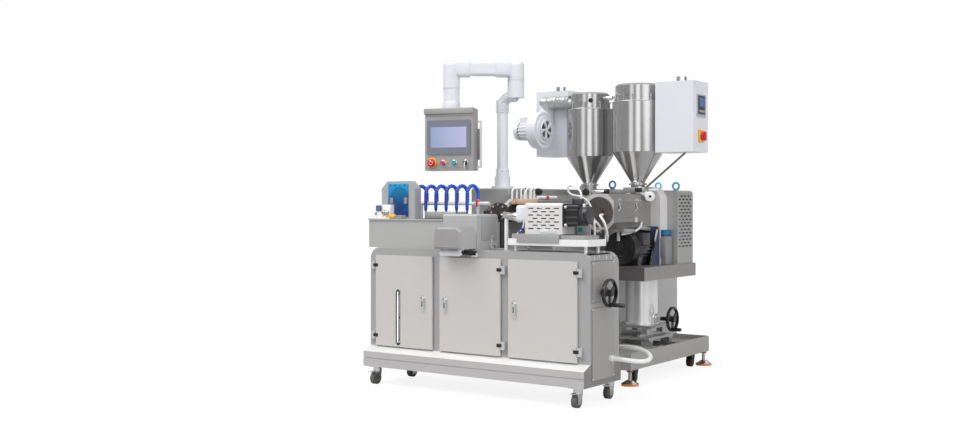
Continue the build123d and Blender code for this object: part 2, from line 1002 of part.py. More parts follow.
# a bench door with its latch and the moving half of its hinges
def door(number):
    low = door_lows[number]
    width = door_widths[number]
    hand = door_hands[number]
    axis_x = hinge_axis(number)
    free_edge = low + width if hand > 0 else low
    latch_place = free_edge - hand * latch_inset_shares[number] * width
    with BuildPart() as made:
        block(low, low + width, door_front, door_front + door_thick, door_low, door_high)
        upright = made.edges().filter_by(Axis.Z)
        chamfer(upright, length=door_edge_radius)
        with BuildSketch(front(latch_place, door_front, latch_height)) as plate:
            SlotOverall(latch_plate_tall, latch_plate_wide, rotation=90)
        extrude(plate.sketch, amount=latch_plate_thick)
        with BuildSketch(front(latch_place, door_front - latch_plate_thick, latch_height)) as lever:
            SlotOverall(latch_lever_tall, latch_lever_wide, rotation=90)
        extrude(lever.sketch, amount=latch_lever_thick)
        for height in hinge_heights:
            left, right = span(axis_x, axis_x + hand * (knuckle_offset + hinge_leaf))
            block(
                left,
                right,
                door_front - hinge_leaf_thick,
                door_front,
                height - knuckle_half,
                height + knuckle_half,
            )
            rod_z(axis_x, door_front, height - knuckle_half, height + knuckle_half, knuckle_radius)
            rod_z(
                axis_x,
                door_front,
                height - knuckle_half - cut_over,
                height + knuckle_half + cut_over,
                hinge_pin_radius + hinge_pin_clearance,
                Mode.SUBTRACT,
            )
        if number == 0:
            with BuildSketch(front(slot_place, door_front + door_thick + cut_over, (slot_low + slot_high) / 2)) as slot:
                SlotOverall(slot_high - slot_low, slot_wide, rotation=90)
            extrude(slot.sketch, amount=door_thick + cut_over + cut_over, mode=Mode.SUBTRACT)
    return made


left_door = door(0)
keep(left_door, "left_door")
middle_door = door(1)
keep(middle_door, "middle_door")
right_door = door(2)
keep(right_door, "right_door")

# level tube on a plate that stands on the bench floor behind the slot
with BuildPart() as level_tube:
    tube_y = frame_front + level_tube_setback
    floor_z = door_low + door_overlap
    plate_y = tube_y + level_fitting_radius
    block(
        slot_place - level_plate_wide / 2,
        slot_place + level_plate_wide / 2,
        plate_y,
        plate_y + level_plate_thick,
        floor_z,
        level_plate_top,
    )
    rod_z(slot_place, tube_y, floor_z, slot_high, level_tube_radius)
    for foot in (floor_z, slot_high):
        rod_z(slot_place, tube_y, foot, foot + level_fitting_tall, level_fitting_radius)
        block(
            slot_place - level_fitting_radius / 2,
            slot_place + level_fitting_radius / 2,
            tube_y,
            plate_y,
            foot,
            foot + level_fitting_tall,
        )
keep(level_tube, "level_tube")

# end panels, with the hand wheel's bearing on the right one
with BuildPart() as end_panels:
    for face, out in ((bench_right, 1), (bench_left, -1)):
        left, right = span(face, face + out * panel_thick)
        block(left, right, panel_front, panel_rear, upper_panel_low, upper_panel_high)
        block(left, right, panel_front, panel_rear, lower_panel_low, lower_panel_high)
    bearing_end = bench_right + panel_thick + bearing_length
    rod_x(bench_right, bearing_end, wheel_y, wheel_z, bearing_radius)
    rod_x(bench_right, conduit_route[0][0], conduit_route[0][1], conduit_route[0][2], conduit_gland_radius)
    rod_x(
        bearing_end - shaft_reach - shaft_clearance,
        bearing_end,
        wheel_y,
        wheel_z,
        wheel_shaft_radius + shaft_clearance,
        Mode.SUBTRACT,
    )
keep(end_panels, "end_panels")


# a hand wheel on a shaft along x: a hub and a rim joined by spokes, with a turning grip
def hand_wheel(plane_x, z, y, sizes, shaft_from):
    radius, shaft_radius, grip = sizes
    middle = plane_x + wheel_hub_length / 2
    with BuildPart() as made:
        rod_x(plane_x, plane_x + wheel_hub_length, y, z, wheel_hub_radius)
        with BuildSketch(side(middle - wheel_rim_wide / 2, y, z)) as rim:
            Circle(radius)
            Circle(radius - wheel_rim_deep, mode=Mode.SUBTRACT)
        extrude(rim.sketch, amount=wheel_rim_wide)
        corners = made.edges().filter_by(GeomType.CIRCLE).sort_by(SortBy.RADIUS)[-2:]
        fillet(corners, radius=wheel_rim_deep / 3)
        with BuildSketch(side(middle - wheel_web / 2, y, z)) as spokes:
            with PolarLocations(radius / 2, wheel_spokes, start_angle=-90):
                Rectangle(radius - wheel_rim_deep / 2, wheel_spoke_wide)
            Circle(radius - wheel_rim_deep / 2, mode=Mode.INTERSECT)
        extrude(spokes.sketch, amount=wheel_web)
        rod_x(shaft_from, plane_x, y, z, shaft_radius)
        grip_z = z - radius + grip_inset
        rod_x(middle, middle + grip, y, grip_z, grip_radius)
    return made


bench_handwheel = hand_wheel(
    bench_wheel_plane,
    wheel_z,
    wheel_y,
    (wheel_radius, wheel_shaft_radius, grip_long),
    bench_wheel_plane - wheel_standoff - shaft_reach,
)
keep(bench_handwheel, "bench_handwheel")


# the fork of a castor, between the floor wheel and the plate above it
def castor_fork(x, y, top):
    reach = castor_wheel_wide / 2 + castor_gap
    crown = castor_wheel_radius + castor_wheel_radius + castor_gap
    block(
        x - castor_plate_half,
        x + castor_plate_half,
        y + castor_trail - castor_plate_half,
        y + castor_trail + castor_plate_half,
        top - castor_plate_thick,
        top,
    )
    rod_z(x, y + castor_trail, crown, top - castor_plate_thick, castor_cup_radius)
    block(
        x - reach - castor_cheek_thick,
        x + reach + castor_cheek_thick,
        y - castor_cheek_half,
        y + castor_trail + castor_cheek_half,
        crown,
        crown + castor_cheek_thick,
    )
    for hand in (1, -1):
        low, high = span(x + hand * reach, x + hand * (reach + castor_cheek_thick))
        side_profile(
            (
                (y - castor_cheek_half, castor_wheel_radius - castor_cheek_half),
                (y + castor_cheek_half, castor_wheel_radius - castor_cheek_half),
                (y + castor_trail + castor_cheek_half, crown + castor_cheek_thick),
                (y - castor_cheek_half, crown + castor_cheek_thick),
            ),
            low,
            high,
        )
    rod_x(
        x - reach - castor_cheek_thick, x + reach + castor_cheek_thick, y, castor_wheel_radius, castor_axle_radius
    )
    block(
        x - reach,
        x + reach,
        y - castor_cheek_half - castor_pedal_long,
        y - castor_cheek_half,
        crown,
        crown + castor_pedal_thick,
    )


castor_places = [
    (castor_x, castor_y, base_low)
    for castor_x in (0, bench_long - castor_inset - castor_inset)
    for castor_y in (0, frame_rear)
]
castor_places += [
    (co_x + hand * (pedestal_half - pedestal_castor_inset), castor_y, pedestal_low)
    for hand in (1, -1)
    for castor_y in (pedestal_front + pedestal_castor_inset_y, pedestal_rear - pedestal_castor_inset_y)
]

with BuildPart() as castor_forks:
    for castor_x, castor_y, underside in castor_places:
        castor_fork(castor_x, castor_y, underside)
keep(castor_forks, "castor_forks")

with BuildPart() as castor_wheels:
    for castor_x, castor_y, underside in castor_places:
        half = castor_wheel_wide / 2
        rod_x(castor_x - half, castor_x + half, castor_y, castor_wheel_radius, castor_wheel_radius)
        rod_x(
            castor_x - half,
            castor_x + half,
            castor_y,
            castor_wheel_radius,
            castor_axle_radius + castor_axle_clearance,
            Mode.SUBTRACT,
        )
keep(castor_wheels, "castor_wheels")

# water trough: an open sheet tank with a lip, decked over under the cutter
with BuildPart() as water_trough:
    block(trough_left, trough_right, trough_front, trough_rear, bench_top, trough_top)
    block(
        trough_deck_end,
        trough_right - trough_wall,
        trough_front + trough_wall,
        trough_rear - trough_wall,
        bench_top + trough_wall,
        trough_top + cut_over,
        Mode.SUBTRACT,
    )
    block(
        trough_left + trough_wall,
        trough_deck_end,
        trough_front + trough_wall,
        trough_rear - trough_wall,
        bench_top + trough_wall,
        trough_top - trough_wall,
        Mode.SUBTRACT,
    )
    block(trough_left, trough_right, trough_front - trough_lip, trough_front, trough_top - trough_lip, trough_top)
    block(trough_left, trough_right, trough_rear, trough_rear + trough_lip, trough_top - trough_lip, trough_top)
keep(water_trough, "water_trough")

# vacuum tank cover
with BuildPart() as vacuum_cover:
    block(trough_right, cover_right, trough_front, cover_rear, bench_top, cover_top)
    crown = vacuum_cover.edges().group_by(Axis.Z)[-1]
    fillet(crown, radius=cover_edge)
keep(vacuum_cover, "vacuum_cover")

# motor cover: a chamfered box that hangs out over the doors
with BuildPart() as motor_cover:
    front_profile(
        (
            (motor_cover_left, motor_cover_low),
            (motor_cover_right, motor_cover_low),
            (motor_cover_right, motor_cover_high - motor_cover_chamfer),
            (motor_cover_right - motor_cover_chamfer, motor_cover_high),
            (motor_cover_left + motor_cover_chamfer, motor_cover_high),
            (motor_cover_left, motor_cover_high - motor_cover_chamfer),
        ),
        motor_cover_front,
        trough_front,
    )
    nose = motor_cover.faces().sort_by(Axis.Y)[0].edges()
    chamfer(nose, length=motor_cover_chamfer / 2)
keep(motor_cover, "motor_cover")

# exhaust duct: an open bent tube under the motor cover
with BuildPart() as exhaust_duct:
    with BuildLine() as duct_line:
        FilletPolyline(
            spot(duct_left, duct_y, duct_z),
            spot(duct_right, duct_y, duct_z),
            spot(duct_right, duct_y, motor_cover_low),
            radius=duct_radius + duct_wall,
        )
    with BuildSketch(Plane(origin=duct_line.line @ 0, z_dir=duct_line.line % 0)):
        Circle(duct_radius)
        Circle(duct_radius - duct_wall, mode=Mode.SUBTRACT)
    sweep()
keep(exhaust_duct, "exhaust_duct")

# cutter housing
with BuildPart() as cutter_housing:
    front_profile(
        (
            (cutter_left, trough_top),
            (cutter_right, trough_top),
            (cutter_right, cutter_top - cutter_chamfer),
            (cutter_right - cutter_chamfer, cutter_top),
            (cutter_left + cutter_chamfer, cutter_top),
            (cutter_left, cutter_top - cutter_chamfer),
        ),
        cutter_front,
        cutter_rear,
    )
keep(cutter_housing, "cutter_housing")

with BuildPart() as cutter_window:
    block(window_left, window_right, cutter_front - window_thick, cutter_front, window_low, window_high)
keep(cutter_window, "cutter_window")

# diameter gauge in front of the cutter
with BuildPart() as gauge_head:
    side_profile(
        (
            (gauge_front, trough_top),
            (gauge_rear, trough_top),
            (gauge_rear, gauge_top),
            (gauge_front + gauge_slope, gauge_top),
        ),
        gauge_left,
        gauge_right,
    )
keep(gauge_head, "gauge_head")

# coolant manifold on two posts, one on the deck and one on the bench top
with BuildPart() as coolant_manifold:
    rod_x(manifold_left, manifold_right, manifold_y, manifold_z, manifold_radius)
    for post_place, foot in zip(manifold_post_xs, (trough_top, bench_top)):
        rod_z(post_place, manifold_y, foot, manifold_z, manifold_post_radius)
    for number in range(hose_count):
        place = hose_first + number * hose_pitch
        rod_z(place, manifold_y, manifold_z, manifold_z + valve_rise, valve_radius)
keep(coolant_manifold, "coolant_manifold")

with BuildPart() as valve_levers:
    for number in range(hose_count):
        place = hose_first + number * hose_pitch
        block(
            place - lever_wide / 2,
            place + lever_wide / 2,
            manifold_y - manifold_radius - lever_thick,
            manifold_y - manifold_radius,
            manifold_z - lever_long / 2,
            manifold_z + lever_long / 2,
        )
keep(valve_levers, "valve_levers")

# coolant hoses: jointed stiff hoses in a row of arches
with BuildPart() as coolant_hoses:
    for number in range(hose_count):
        place = hose_first + number * hose_pitch
        foot_z = manifold_z + valve_rise
        with BuildLine() as hose_line:
            FilletPolyline(
                spot(place, manifold_y, foot_z),
                spot(place, manifold_y, hose_crown_z + hose_arc),
                spot(place, manifold_y - hose_reach, hose_crown_z + hose_arc),
                spot(place, manifold_y - hose_reach, hose_tip_z),
                radius=hose_arc - hose_tip_radius / 2,
            )
        with BuildSketch(Plane(origin=hose_line.line @ 0, z_dir=hose_line.line % 0)) as hose_section:
            Circle(hose_radius)
        sweep(hose_section.sketch, path=hose_line.line)
        rod_z(
            place, manifold_y - hose_reach, hose_tip_z - hose_tip_long, hose_tip_z, hose_tip_radius
        )
keep(coolant_hoses, "coolant_hoses")

# pump table: a folded sheet on four posts, with a tray on it
with BuildPart() as pump_table:
    block(table_left, table_right, table_front, table_rear, table_low, table_top)
    block(
        table_left + table_sheet,
        table_right - table_sheet,
        table_front + table_sheet,
        table_rear - table_sheet,
        table_low - cut_over,
        table_top - table_sheet,
        Mode.SUBTRACT,
    )
    for post_place in (table_left + table_post_inset, table_right - table_post_inset):
        for post_depth in (table_front + table_post_inset, table_rear - table_post_inset):
            rod_z(post_place, post_depth, bench_top, table_top, table_post_radius)
    block(tray_left, tray_right, tray_front, tray_rear, table_top, tray_top)
    rod_z(cable_route[-1][0], cable_route[-1][1], table_top, cable_route[-1][2], cable_gland_radius)
keep(pump_table, "pump_table")

# slotted cover over the pump's gear
with BuildPart() as pump_drive_cover:
    block(guard_left, guard_right, guard_front, guard_rear, tray_top, guard_top)
    crown = pump_drive_cover.edges().filter_by(Axis.X).group_by(Axis.Z)[-1]
    fillet(crown, radius=guard_corner)
    block(
        guard_left + guard_sheet,
        guard_right - guard_sheet,
        guard_front + guard_sheet,
        guard_rear - guard_sheet,
        tray_top - cut_over,
        guard_top - guard_corner,
        Mode.SUBTRACT,
    )
    slot_pitch_x = (guard_right - guard_left - guard_slot_inset) / guard_slot_columns
    slot_pitch_z = (guard_top - tray_top - guard_slot_inset - guard_slot_inset) / guard_slot_rows
    with BuildSketch(front(0, guard_front + guard_sheet + guard_sheet, 0)) as slots:
        for row in range(guard_slot_rows):
            shift = slot_pitch_x / 2 if row % 2 else 0
            for column in range(guard_slot_columns - row % 2):
                with Locations(
                    (
                        guard_left + guard_slot_inset / 2 + shift + (column + 1 / 2) * slot_pitch_x,
                        tray_top + guard_slot_inset + (row + 1 / 2) * slot_pitch_z,
                    )
                ):
                    Rectangle(slot_pitch_x * guard_slot_long_share, slot_pitch_z * guard_slot_tall_share)
    extrude(slots.sketch, amount=guard_sheet + guard_sheet + cut_over, mode=Mode.SUBTRACT)
keep(pump_drive_cover, "pump_drive_cover")

# servo motor on the cover's right end
with BuildPart() as servo_motor:
    with BuildSketch(side(guard_right, pump_axis_y, pump_axis_z)) as flange:
        RectangleRounded(servo_flange_half * 2, servo_flange_half * 2, servo_corner)
    extrude(flange.sketch, amount=servo_flange_long)
    body_start = guard_right + servo_flange_long
    with BuildSketch(side(body_start, pump_axis_y, pump_axis_z)) as body:
        RectangleRounded(servo_half * 2, servo_half * 2, servo_corner)
    extrude(body.sketch, amount=servo_body_long)
    end_start = body_start + servo_body_long
    with BuildSketch(side(end_start, pump_axis_y, pump_axis_z)) as tail:
        Circle(servo_end_half)
    extrude(tail.sketch, amount=servo_end_long)
    for plug in (end_start - servo_plug_radius, end_start - servo_plug_radius - servo_plug_pitch):
        rod_z(plug, pump_axis_y, pump_axis_z, pump_axis_z + servo_half + servo_plug_tall, servo_plug_radius)
keep(servo_motor, "servo_motor")

# coupling cone at the cover's left end, its tip in a post
with BuildPart() as pump_coupling:
    flange_start = guard_left - coupling_flange_long
    hub_start = flange_start - coupling_hub_long
    cone_start = hub_start - cone_long
    tip_start = cone_start - tip_shaft_long
    with BuildSketch(front(0, pump_axis_y, 0)) as half:
        with BuildLine():
            Polyline(
                (guard_left, pump_axis_z),
                (guard_left, pump_axis_z + coupling_flange_radius),
                (flange_start, pump_axis_z + coupling_flange_radius),
                (flange_start, pump_axis_z + coupling_hub_radius),
                (hub_start, pump_axis_z + coupling_hub_radius),
                (hub_start, pump_axis_z + cone_radius),
                (cone_start, pump_axis_z + cone_tip_radius),
                (tip_start, pump_axis_z + cone_tip_radius),
                (tip_start, pump_axis_z),
                close=True,
            )
        make_face()
    revolve(half.sketch, axis=Axis(spot(0, pump_axis_y, pump_axis_z), (1, 0, 0)))
    block(
        tip_start,
        tip_start + tip_block_half * 2,
        pump_axis_y - tip_block_half,
        pump_axis_y + tip_block_half,
        pump_axis_z - tip_block_half,
        pump_axis_z + tip_block_half,
    )
    rod_z(tip_start + tip_block_half, pump_axis_y, bench_top, pump_axis_z, tip_post_radius)
keep(pump_coupling, "pump_coupling")

# die head: bolted flanges on the barrel's end with a cross nozzle, on a post from the bench
with BuildPart() as die_head:
    rod_y(main_x, die_front, die_rear, main_z, die_body_radius)
    rod_y(main_x, die_front, die_front + die_flange_long, main_z, die_flange_radius)
    rod_y(main_x, die_rear - die_flange_long - die_flange_long, die_rear, main_z, die_flange_radius)
    rod_x(die_cross_left, main_x, die_cross_y, main_z, die_cross_radius)
    rod_x(die_cross_left - die_nozzle_long, die_cross_left, die_cross_y, main_z, die_nozzle_radius)
    rod_z(main_x, die_cross_y, bench_top, main_z, die_post_radius)
keep(die_head, "die_head")

# control cabinet
with BuildPart() as control_cabinet:
    block(cabinet_left, cabinet_right, cabinet_front, cabinet_rear, cabinet_low, cabinet_top)
    rims = control_cabinet.edges().filter_by(Axis.Z) + control_cabinet.edges().group_by(Axis.Z)[-1]
    fillet(rims, radius=cabinet_edge)
keep(control_cabinet, "control_cabinet")

# pendant post with a link to the swivel hub
with BuildPart() as pendant_post:
    rod_z(post_x, post_y, cabinet_top, cabinet_top + post_flange_thick, post_flange_radius)
    rod_z(post_x, post_y, cabinet_top, cabinet_top + post_socket_tall, post_socket_radius)
    with BuildLine() as post_line:
        FilletPolyline(
            spot(post_x, post_y, cabinet_top),
            spot(post_x, post_y, post_link_z),
            spot(hub_x, post_y, post_link_z),
            radius=post_bend,
        )
    with BuildSketch(Plane(origin=post_line.line @ 0, z_dir=post_line.line % 0)):
        Circle(post_radius)
    sweep()
    rod_z(hub_x, post_y, hub_low, hub_split - swivel_gap, hub_radius)
    rod_z(hub_x, post_y, hub_split - swivel_gap, hub_split + spigot_tall, spigot_radius)
keep(pendant_post, "pendant_post")

# pendant arm between two elbows
with BuildPart() as pendant_arm:
    rod_z(hub_x, post_y, hub_split, arm_top, elbow_radius)
    rod_z(pendant_x, pendant_y, arm_drop_low, arm_top, elbow_radius)
    crowns = pendant_arm.edges().filter_by(GeomType.CIRCLE).group_by(Axis.Z)[-1]
    fillet(crowns, radius=elbow_round)
    bar_start = spot(pendant_x, pendant_y, arm_z)
    with BuildSketch(Plane(origin=bar_start, x_dir=(-arm_sin, arm_cos, 0), z_dir=(arm_cos, arm_sin, 0))) as bar:
        RectangleRounded(arm_half * 2, arm_half * 2, arm_corner)
    extrude(bar.sketch, amount=arm_long)
    rod_z(
        hub_x,
        post_y,
        hub_split - cut_over,
        hub_split + spigot_tall + swivel_gap,
        spigot_radius + spigot_clearance,
        Mode.SUBTRACT,
    )
    rod_z(
        pendant_x,
        pendant_y,
        arm_drop_low - cut_over,
        arm_drop_low + spigot_tall + swivel_gap,
        spigot_radius + spigot_clearance,
        Mode.SUBTRACT,
    )
keep(pendant_arm, "pendant_arm")


def pendant_plane(across, out, height):
    return Plane(
        origin=spot(
            pendant_x + across * turn_cos + out * turn_sin,
            pendant_y + across * turn_sin - out * turn_cos,
            height,
        ),
        x_dir=(turn_cos, turn_sin, 0),
        z_dir=(turn_sin, -turn_cos, 0),
    )


# pendant box with side handles and a neck into the arm
with BuildPart() as pendant_box:
    middle = (pendant_low + pendant_high) / 2
    with BuildSketch(pendant_plane(0, -pendant_back_depth, middle)) as face:
        RectangleRounded(pendant_width, pendant_high - pendant_low, pendant_edge)
    extrude(face.sketch, amount=pendant_front_depth + pendant_back_depth)
    grip_middle = (handle_low + handle_high) / 2
    with BuildSketch(pendant_plane(0, -pendant_back_depth, grip_middle)) as loops:
        Rectangle(pendant_width + handle_reach * 2, handle_high - handle_low)
        Rectangle(
            pendant_width + (handle_reach - handle_bar) * 2,
            handle_high - handle_low - handle_bar * 2,
            mode=Mode.SUBTRACT,
        )
        Rectangle(pendant_width - handle_bar, handle_high - handle_low, mode=Mode.SUBTRACT)
    extrude(loops.sketch, amount=handle_bar)
    rod_z(pendant_x, pendant_y, pendant_high - handle_bar, arm_drop_low - swivel_gap, pendant_neck_radius)
    rod_z(pendant_x, pendant_y, arm_drop_low - swivel_gap, arm_drop_low + spigot_tall, spigot_radius)
keep(pendant_box, "pendant_box")

# screen bezel and push buttons on the pendant's face
with BuildPart() as pendant_controls:
    with BuildSketch(pendant_plane(0, pendant_front_depth, bezel_centre)) as bezel:
        RectangleRounded(bezel_width, bezel_tall, pendant_edge)
    extrude(bezel.sketch, amount=bezel_thick)
    for across, radius in zip(button_places, button_radii):
        with BuildSketch(pendant_plane(across, pendant_front_depth, button_row)) as button:
            Circle(radius)
        extrude(button.sketch, amount=button_tall)
keep(pendant_controls, "pendant_controls")

# main extruder: stand, hood and barrel guard
with BuildPart() as main_stand:
    block(main_stand_left, main_stand_right, main_stand_front, main_rear, cabinet_low, main_stand_top)
    rims = main_stand.edges().filter_by(Axis.Z)
    fillet(rims, radius=cabinet_edge)
keep(main_stand, "main_stand")

with BuildPart() as main_hood:
    block(
        main_x - main_hood_half,
        main_x + main_hood_half,
        main_hood_front,
        main_rear,
        main_stand_top,
        main_hood_top,
    )
    crown = main_hood.edges().filter_by(Axis.Y).group_by(Axis.Z)[-1]
    fillet(crown, radius=main_hood_edge)
keep(main_hood, "main_hood")

with BuildPart() as main_barrel:
    front_profile(
        (
            (main_x - main_guard_half, main_guard_low),
            (main_x + main_guard_half, main_guard_low),
            (main_x + main_guard_half, main_guard_top - main_guard_chamfer),
            (main_x + main_guard_half - main_guard_chamfer, main_guard_top),
            (main_x - main_guard_half + main_guard_chamfer, main_guard_top),
            (main_x - main_guard_half, main_guard_top - main_guard_chamfer),
        ),
        die_rear,
        main_guard_rear,
    )
    block(
        main_x - main_guard_leg_half,
        main_x + main_guard_leg_half,
        main_guard_leg_front,
        main_guard_leg_rear,
        main_stand_top,
        main_guard_low,
    )
    block(
        main_x - main_feed_half,
        main_x + main_feed_half,
        main_guard_rear,
        main_hood_front,
        main_guard_low,
        main_guard_top,
    )
    rod_z(main_x, main_hopper_y, main_guard_top, throat_top, throat_radius)
keep(main_barrel, "main_barrel")


# the sheet shell of a hopper
def hopper_shell(x, y, radius, cone_high, rim):
    turned(
        x,
        y,
        (
            (hopper_neck - hopper_sheet, throat_top),
            (hopper_flange, throat_top),
            (hopper_flange, throat_top + hopper_flange_thick),
            (hopper_neck, throat_top + hopper_flange_thick),
            (hopper_neck, cone_low),
            (radius, cone_high),
            (radius, rim),
            (radius - hopper_sheet, rim),
            (radius - hopper_sheet, cone_high),
            (hopper_neck - hopper_sheet, cone_low),
        ),
    )


# the raised lid of a hopper, with a round port in front
def hopper_cap(x, y, radius, lid_radius, rim, top):
    turned(
        x,
        y,
        (
            (0, rim),
            (radius, rim),
            (radius, rim + lid_rim),
            (lid_radius, rim + lid_rim),
            (lid_radius, top - lid_dome),
            (lid_radius - lid_dome, top),
            (0, top),
        ),
    )
    rod_y(x, y - lid_radius - lid_port_long, y, (rim + top) / 2, lid_port_radius)


with BuildPart() as main_hopper:
    hopper_shell(main_x, main_hopper_y, main_hopper_radius, main_cone_high, main_rim)
keep(main_hopper, "main_hopper")

with BuildPart() as main_hopper_lid:
    hopper_cap(main_x, main_hopper_y, main_hopper_radius, main_lid_radius, main_rim, main_lid_top)
keep(main_hopper_lid, "main_hopper_lid")


# a lifting eye standing on a top face
def lifting_eye(x, y, z):
    rod_z(x, y, z, z + eye_collar_tall, eye_collar_radius)
    centre_z = z + eye_collar_tall + eye_ring - eye_wire / 2
    with BuildSketch(flat(x, y, centre_z)) as wire:
        with Locations((eye_ring, 0)):
            Circle(eye_wire)
    revolve(wire.sketch, axis=Axis(spot(x, y, centre_z), (0, 1, 0)))


with BuildPart() as lifting_eyes:
    for eye_y in eye_ys:
        lifting_eye(eye_x, eye_y, main_hood_top)
keep(lifting_eyes, "lifting_eyes")


# a dryer box with a cap on top
def dryer_case(x, y):
    block(x, x + box_wide, y, y + box_deep, box_low, box_high)
    rod_z(x + box_wide / 2, y + box_deep / 2, box_high, box_high + box_cap_tall, box_cap_radius)


with BuildPart() as main_dryer_box:
    dryer_case(main_box_left, main_box_front)
    rod_z(main_x, main_hopper_y, box_low, box_high, main_hopper_radius + contact_gap, Mode.SUBTRACT)
keep(main_dryer_box, "main_dryer_box")

# dryer blower: a scroll with its motor, on the dryer box's front, and a pipe to the lid
with BuildPart() as dryer_blower:
    scroll_left = blower_x - blower_wide / 2
    scroll_right = blower_x + blower_wide / 2
    rod_x(scroll_left, scroll_right, blower_y, blower_z, blower_radius)
    rod_x(scroll_right, scroll_right + blower_inlet_long, blower_y, blower_z, blower_inlet_radius)
    rod_x(scroll_left - blower_motor_long, scroll_left, blower_y, blower_z, blower_motor_radius)
    block(
        scroll_left - blower_motor_long / 2 - blower_box_half,
        scroll_left - blower_motor_long / 2 + blower_box_half,
        blower_y - blower_box_half,
        blower_y + blower_box_half,
        blower_z,
        blower_z + blower_motor_radius + blower_box_tall,
    )
    block(
        scroll_left,
        scroll_right,
        blower_y + blower_radius - blower_spout_half * 2,
        blower_y + blower_radius,
        blower_z,
        blower_pipe_z,
    )
    block(
        scroll_left,
        scroll_right,
        blower_y,
        main_box_front,
        blower_z - blower_pad_half,
        blower_z + blower_pad_half,
    )
    rod_x(
        scroll_left, main_x, blower_y + blower_radius - blower_spout_half, blower_pipe_z, blower_pipe_radius
    )
    rod_z(
        main_x,
        main_hopper_y,
        main_rim,
        main_lid_top + cut_over,
        main_lid_radius + contact_gap,
        Mode.SUBTRACT,
    )
keep(dryer_blower, "dryer_blower")

# pedestal base: a tray with two cross rails, tied to the main stand
with BuildPart() as pedestal_base:
    block(
        co_x - pedestal_half, co_x + pedestal_half, pedestal_front, pedestal_rear, pedestal_low, pedestal_top
    )
    block(
        co_x - pedestal_half + tray_wall,
        co_x + pedestal_half - tray_wall,
        pedestal_front + tray_wall,
        pedestal_rear - tray_wall,
        tray_floor,
        pedestal_top + cut_over,
        Mode.SUBTRACT,
    )
    for hand in (1, -1):
        rail_y = column_y + hand * low_rail_spread
        block(
            co_x - rail_half_long,
            co_x + rail_half_long,
            rail_y - rail_wide / 2,
            rail_y + rail_wide / 2,
            tray_floor,
            tray_floor + low_rail_tall,
        )
    block(
        main_stand_right,
        co_x - pedestal_half,
        tie_front,
        tie_rear,
        pedestal_low + tie_margin,
        pedestal_top - tie_margin,
    )
    rod_y(conduit_foot_x, pedestal_front - conduit_gland_long, pedestal_front, conduit_foot_z, conduit_gland_radius)
keep(pedestal_base, "pedestal_base")

# lower saddle: blocks on the cross rails, with the long rails on top
with BuildPart() as cross_saddle:
    block(
        co_x - saddle_half_x,
        co_x + saddle_half_x,
        column_y - saddle_half_y,
        column_y + saddle_half_y,
        low_saddle_base,
        low_saddle_top,
    )
    for hand in (1, -1):
        rail_y = column_y + hand * low_rail_spread
        for end in (1, -1):
            block_x = co_x + end * (saddle_half_x - block_half)
            block(
                block_x - block_half,
                block_x + block_half,
                rail_y - rail_wide,
                rail_y + rail_wide,
                low_block_base,
                low_saddle_base,
            )
        block(
            co_x - rail_half_long,
            co_x + rail_half_long,
            rail_y - rail_wide / 2 - rail_clearance,
            rail_y + rail_wide / 2 + rail_clearance,
            tray_floor,
            tray_floor + low_rail_tall + rail_clearance,
            Mode.SUBTRACT,
        )
        rail_x = co_x + hand * high_rail_spread
        block(
            rail_x - rail_wide / 2,
            rail_x + rail_wide / 2,
            column_y - high_rail_half_long,
            column_y + high_rail_half_long,
            low_saddle_top,
            low_saddle_top + high_rail_tall,
        )
keep(cross_saddle, "cross_saddle")

# upper saddle: blocks on the long rails, under the column
with BuildPart() as long_saddle:
    block(
        co_x - saddle_half_x,
        co_x + saddle_half_x,
        column_y - saddle_half_x,
        column_y + saddle_half_x,
        high_saddle_base,
        high_saddle_top,
    )
    for hand in (1, -1):
        rail_x = co_x + hand * high_rail_spread
        for end in (1, -1):
            block_y = column_y + end * (saddle_half_x - block_half)
            block(
                rail_x - rail_wide,
                rail_x + rail_wide,
                block_y - block_half,
                block_y + block_half,
                high_block_base,
                high_saddle_base,
            )
        block(
            rail_x - rail_wide / 2 - rail_clearance,
            rail_x + rail_wide / 2 + rail_clearance,
            column_y - high_rail_half_long,
            column_y + high_rail_half_long,
            low_saddle_top,
            low_saddle_top + high_rail_tall + rail_clearance,
            Mode.SUBTRACT,
        )
keep(long_saddle, "long_saddle")

# lift column: a polished tube with a bush for the wheel's shaft
with BuildPart() as lift_column:
    rod_z(co_x, column_y, high_saddle_top, high_saddle_top + column_flange_thick, column_flange)
    rod_z(co_x, column_y, high_saddle_top, column_top, column_radius)
    rod_x(co_x, co_x + bush_reach, column_y, lift_wheel_z, bush_radius)
    rod_z(
        co_x,
        column_y,
        high_saddle_top + column_flange_thick,
        column_top + cut_over,
        column_radius - column_wall,
        Mode.SUBTRACT,
    )
    rod_x(
        co_x + bush_bore_start,
        co_x + bush_reach + cut_over,
        column_y,
        lift_wheel_z,
        lift_shaft_radius + shaft_clearance,
        Mode.SUBTRACT,
    )
keep(lift_column, "lift_column")

column_handwheel = hand_wheel(
    lift_wheel_plane,
    lift_wheel_z,
    column_y,
    (lift_wheel_radius, lift_shaft_radius, lift_grip_long),
    co_x + bush_bore_start + shaft_clearance,
)
keep(column_handwheel, "column_handwheel")

# platform: a tray turned over, with the ram that slides in the column
with BuildPart() as platform:
    block(co_x - pedestal_half, co_x + pedestal_half, platform_front, platform_rear, platform_low, platform_top)
    block(
        co_x - pedestal_half + platform_sheet,
        co_x + pedestal_half - platform_sheet,
        platform_front + platform_sheet,
        platform_rear - platform_sheet,
        platform_low - cut_over,
        platform_top - platform_sheet,
        Mode.SUBTRACT,
    )
    rod_z(co_x, column_y, ram_low, platform_top, column_radius - column_wall - ram_clearance)
keep(platform, "platform")

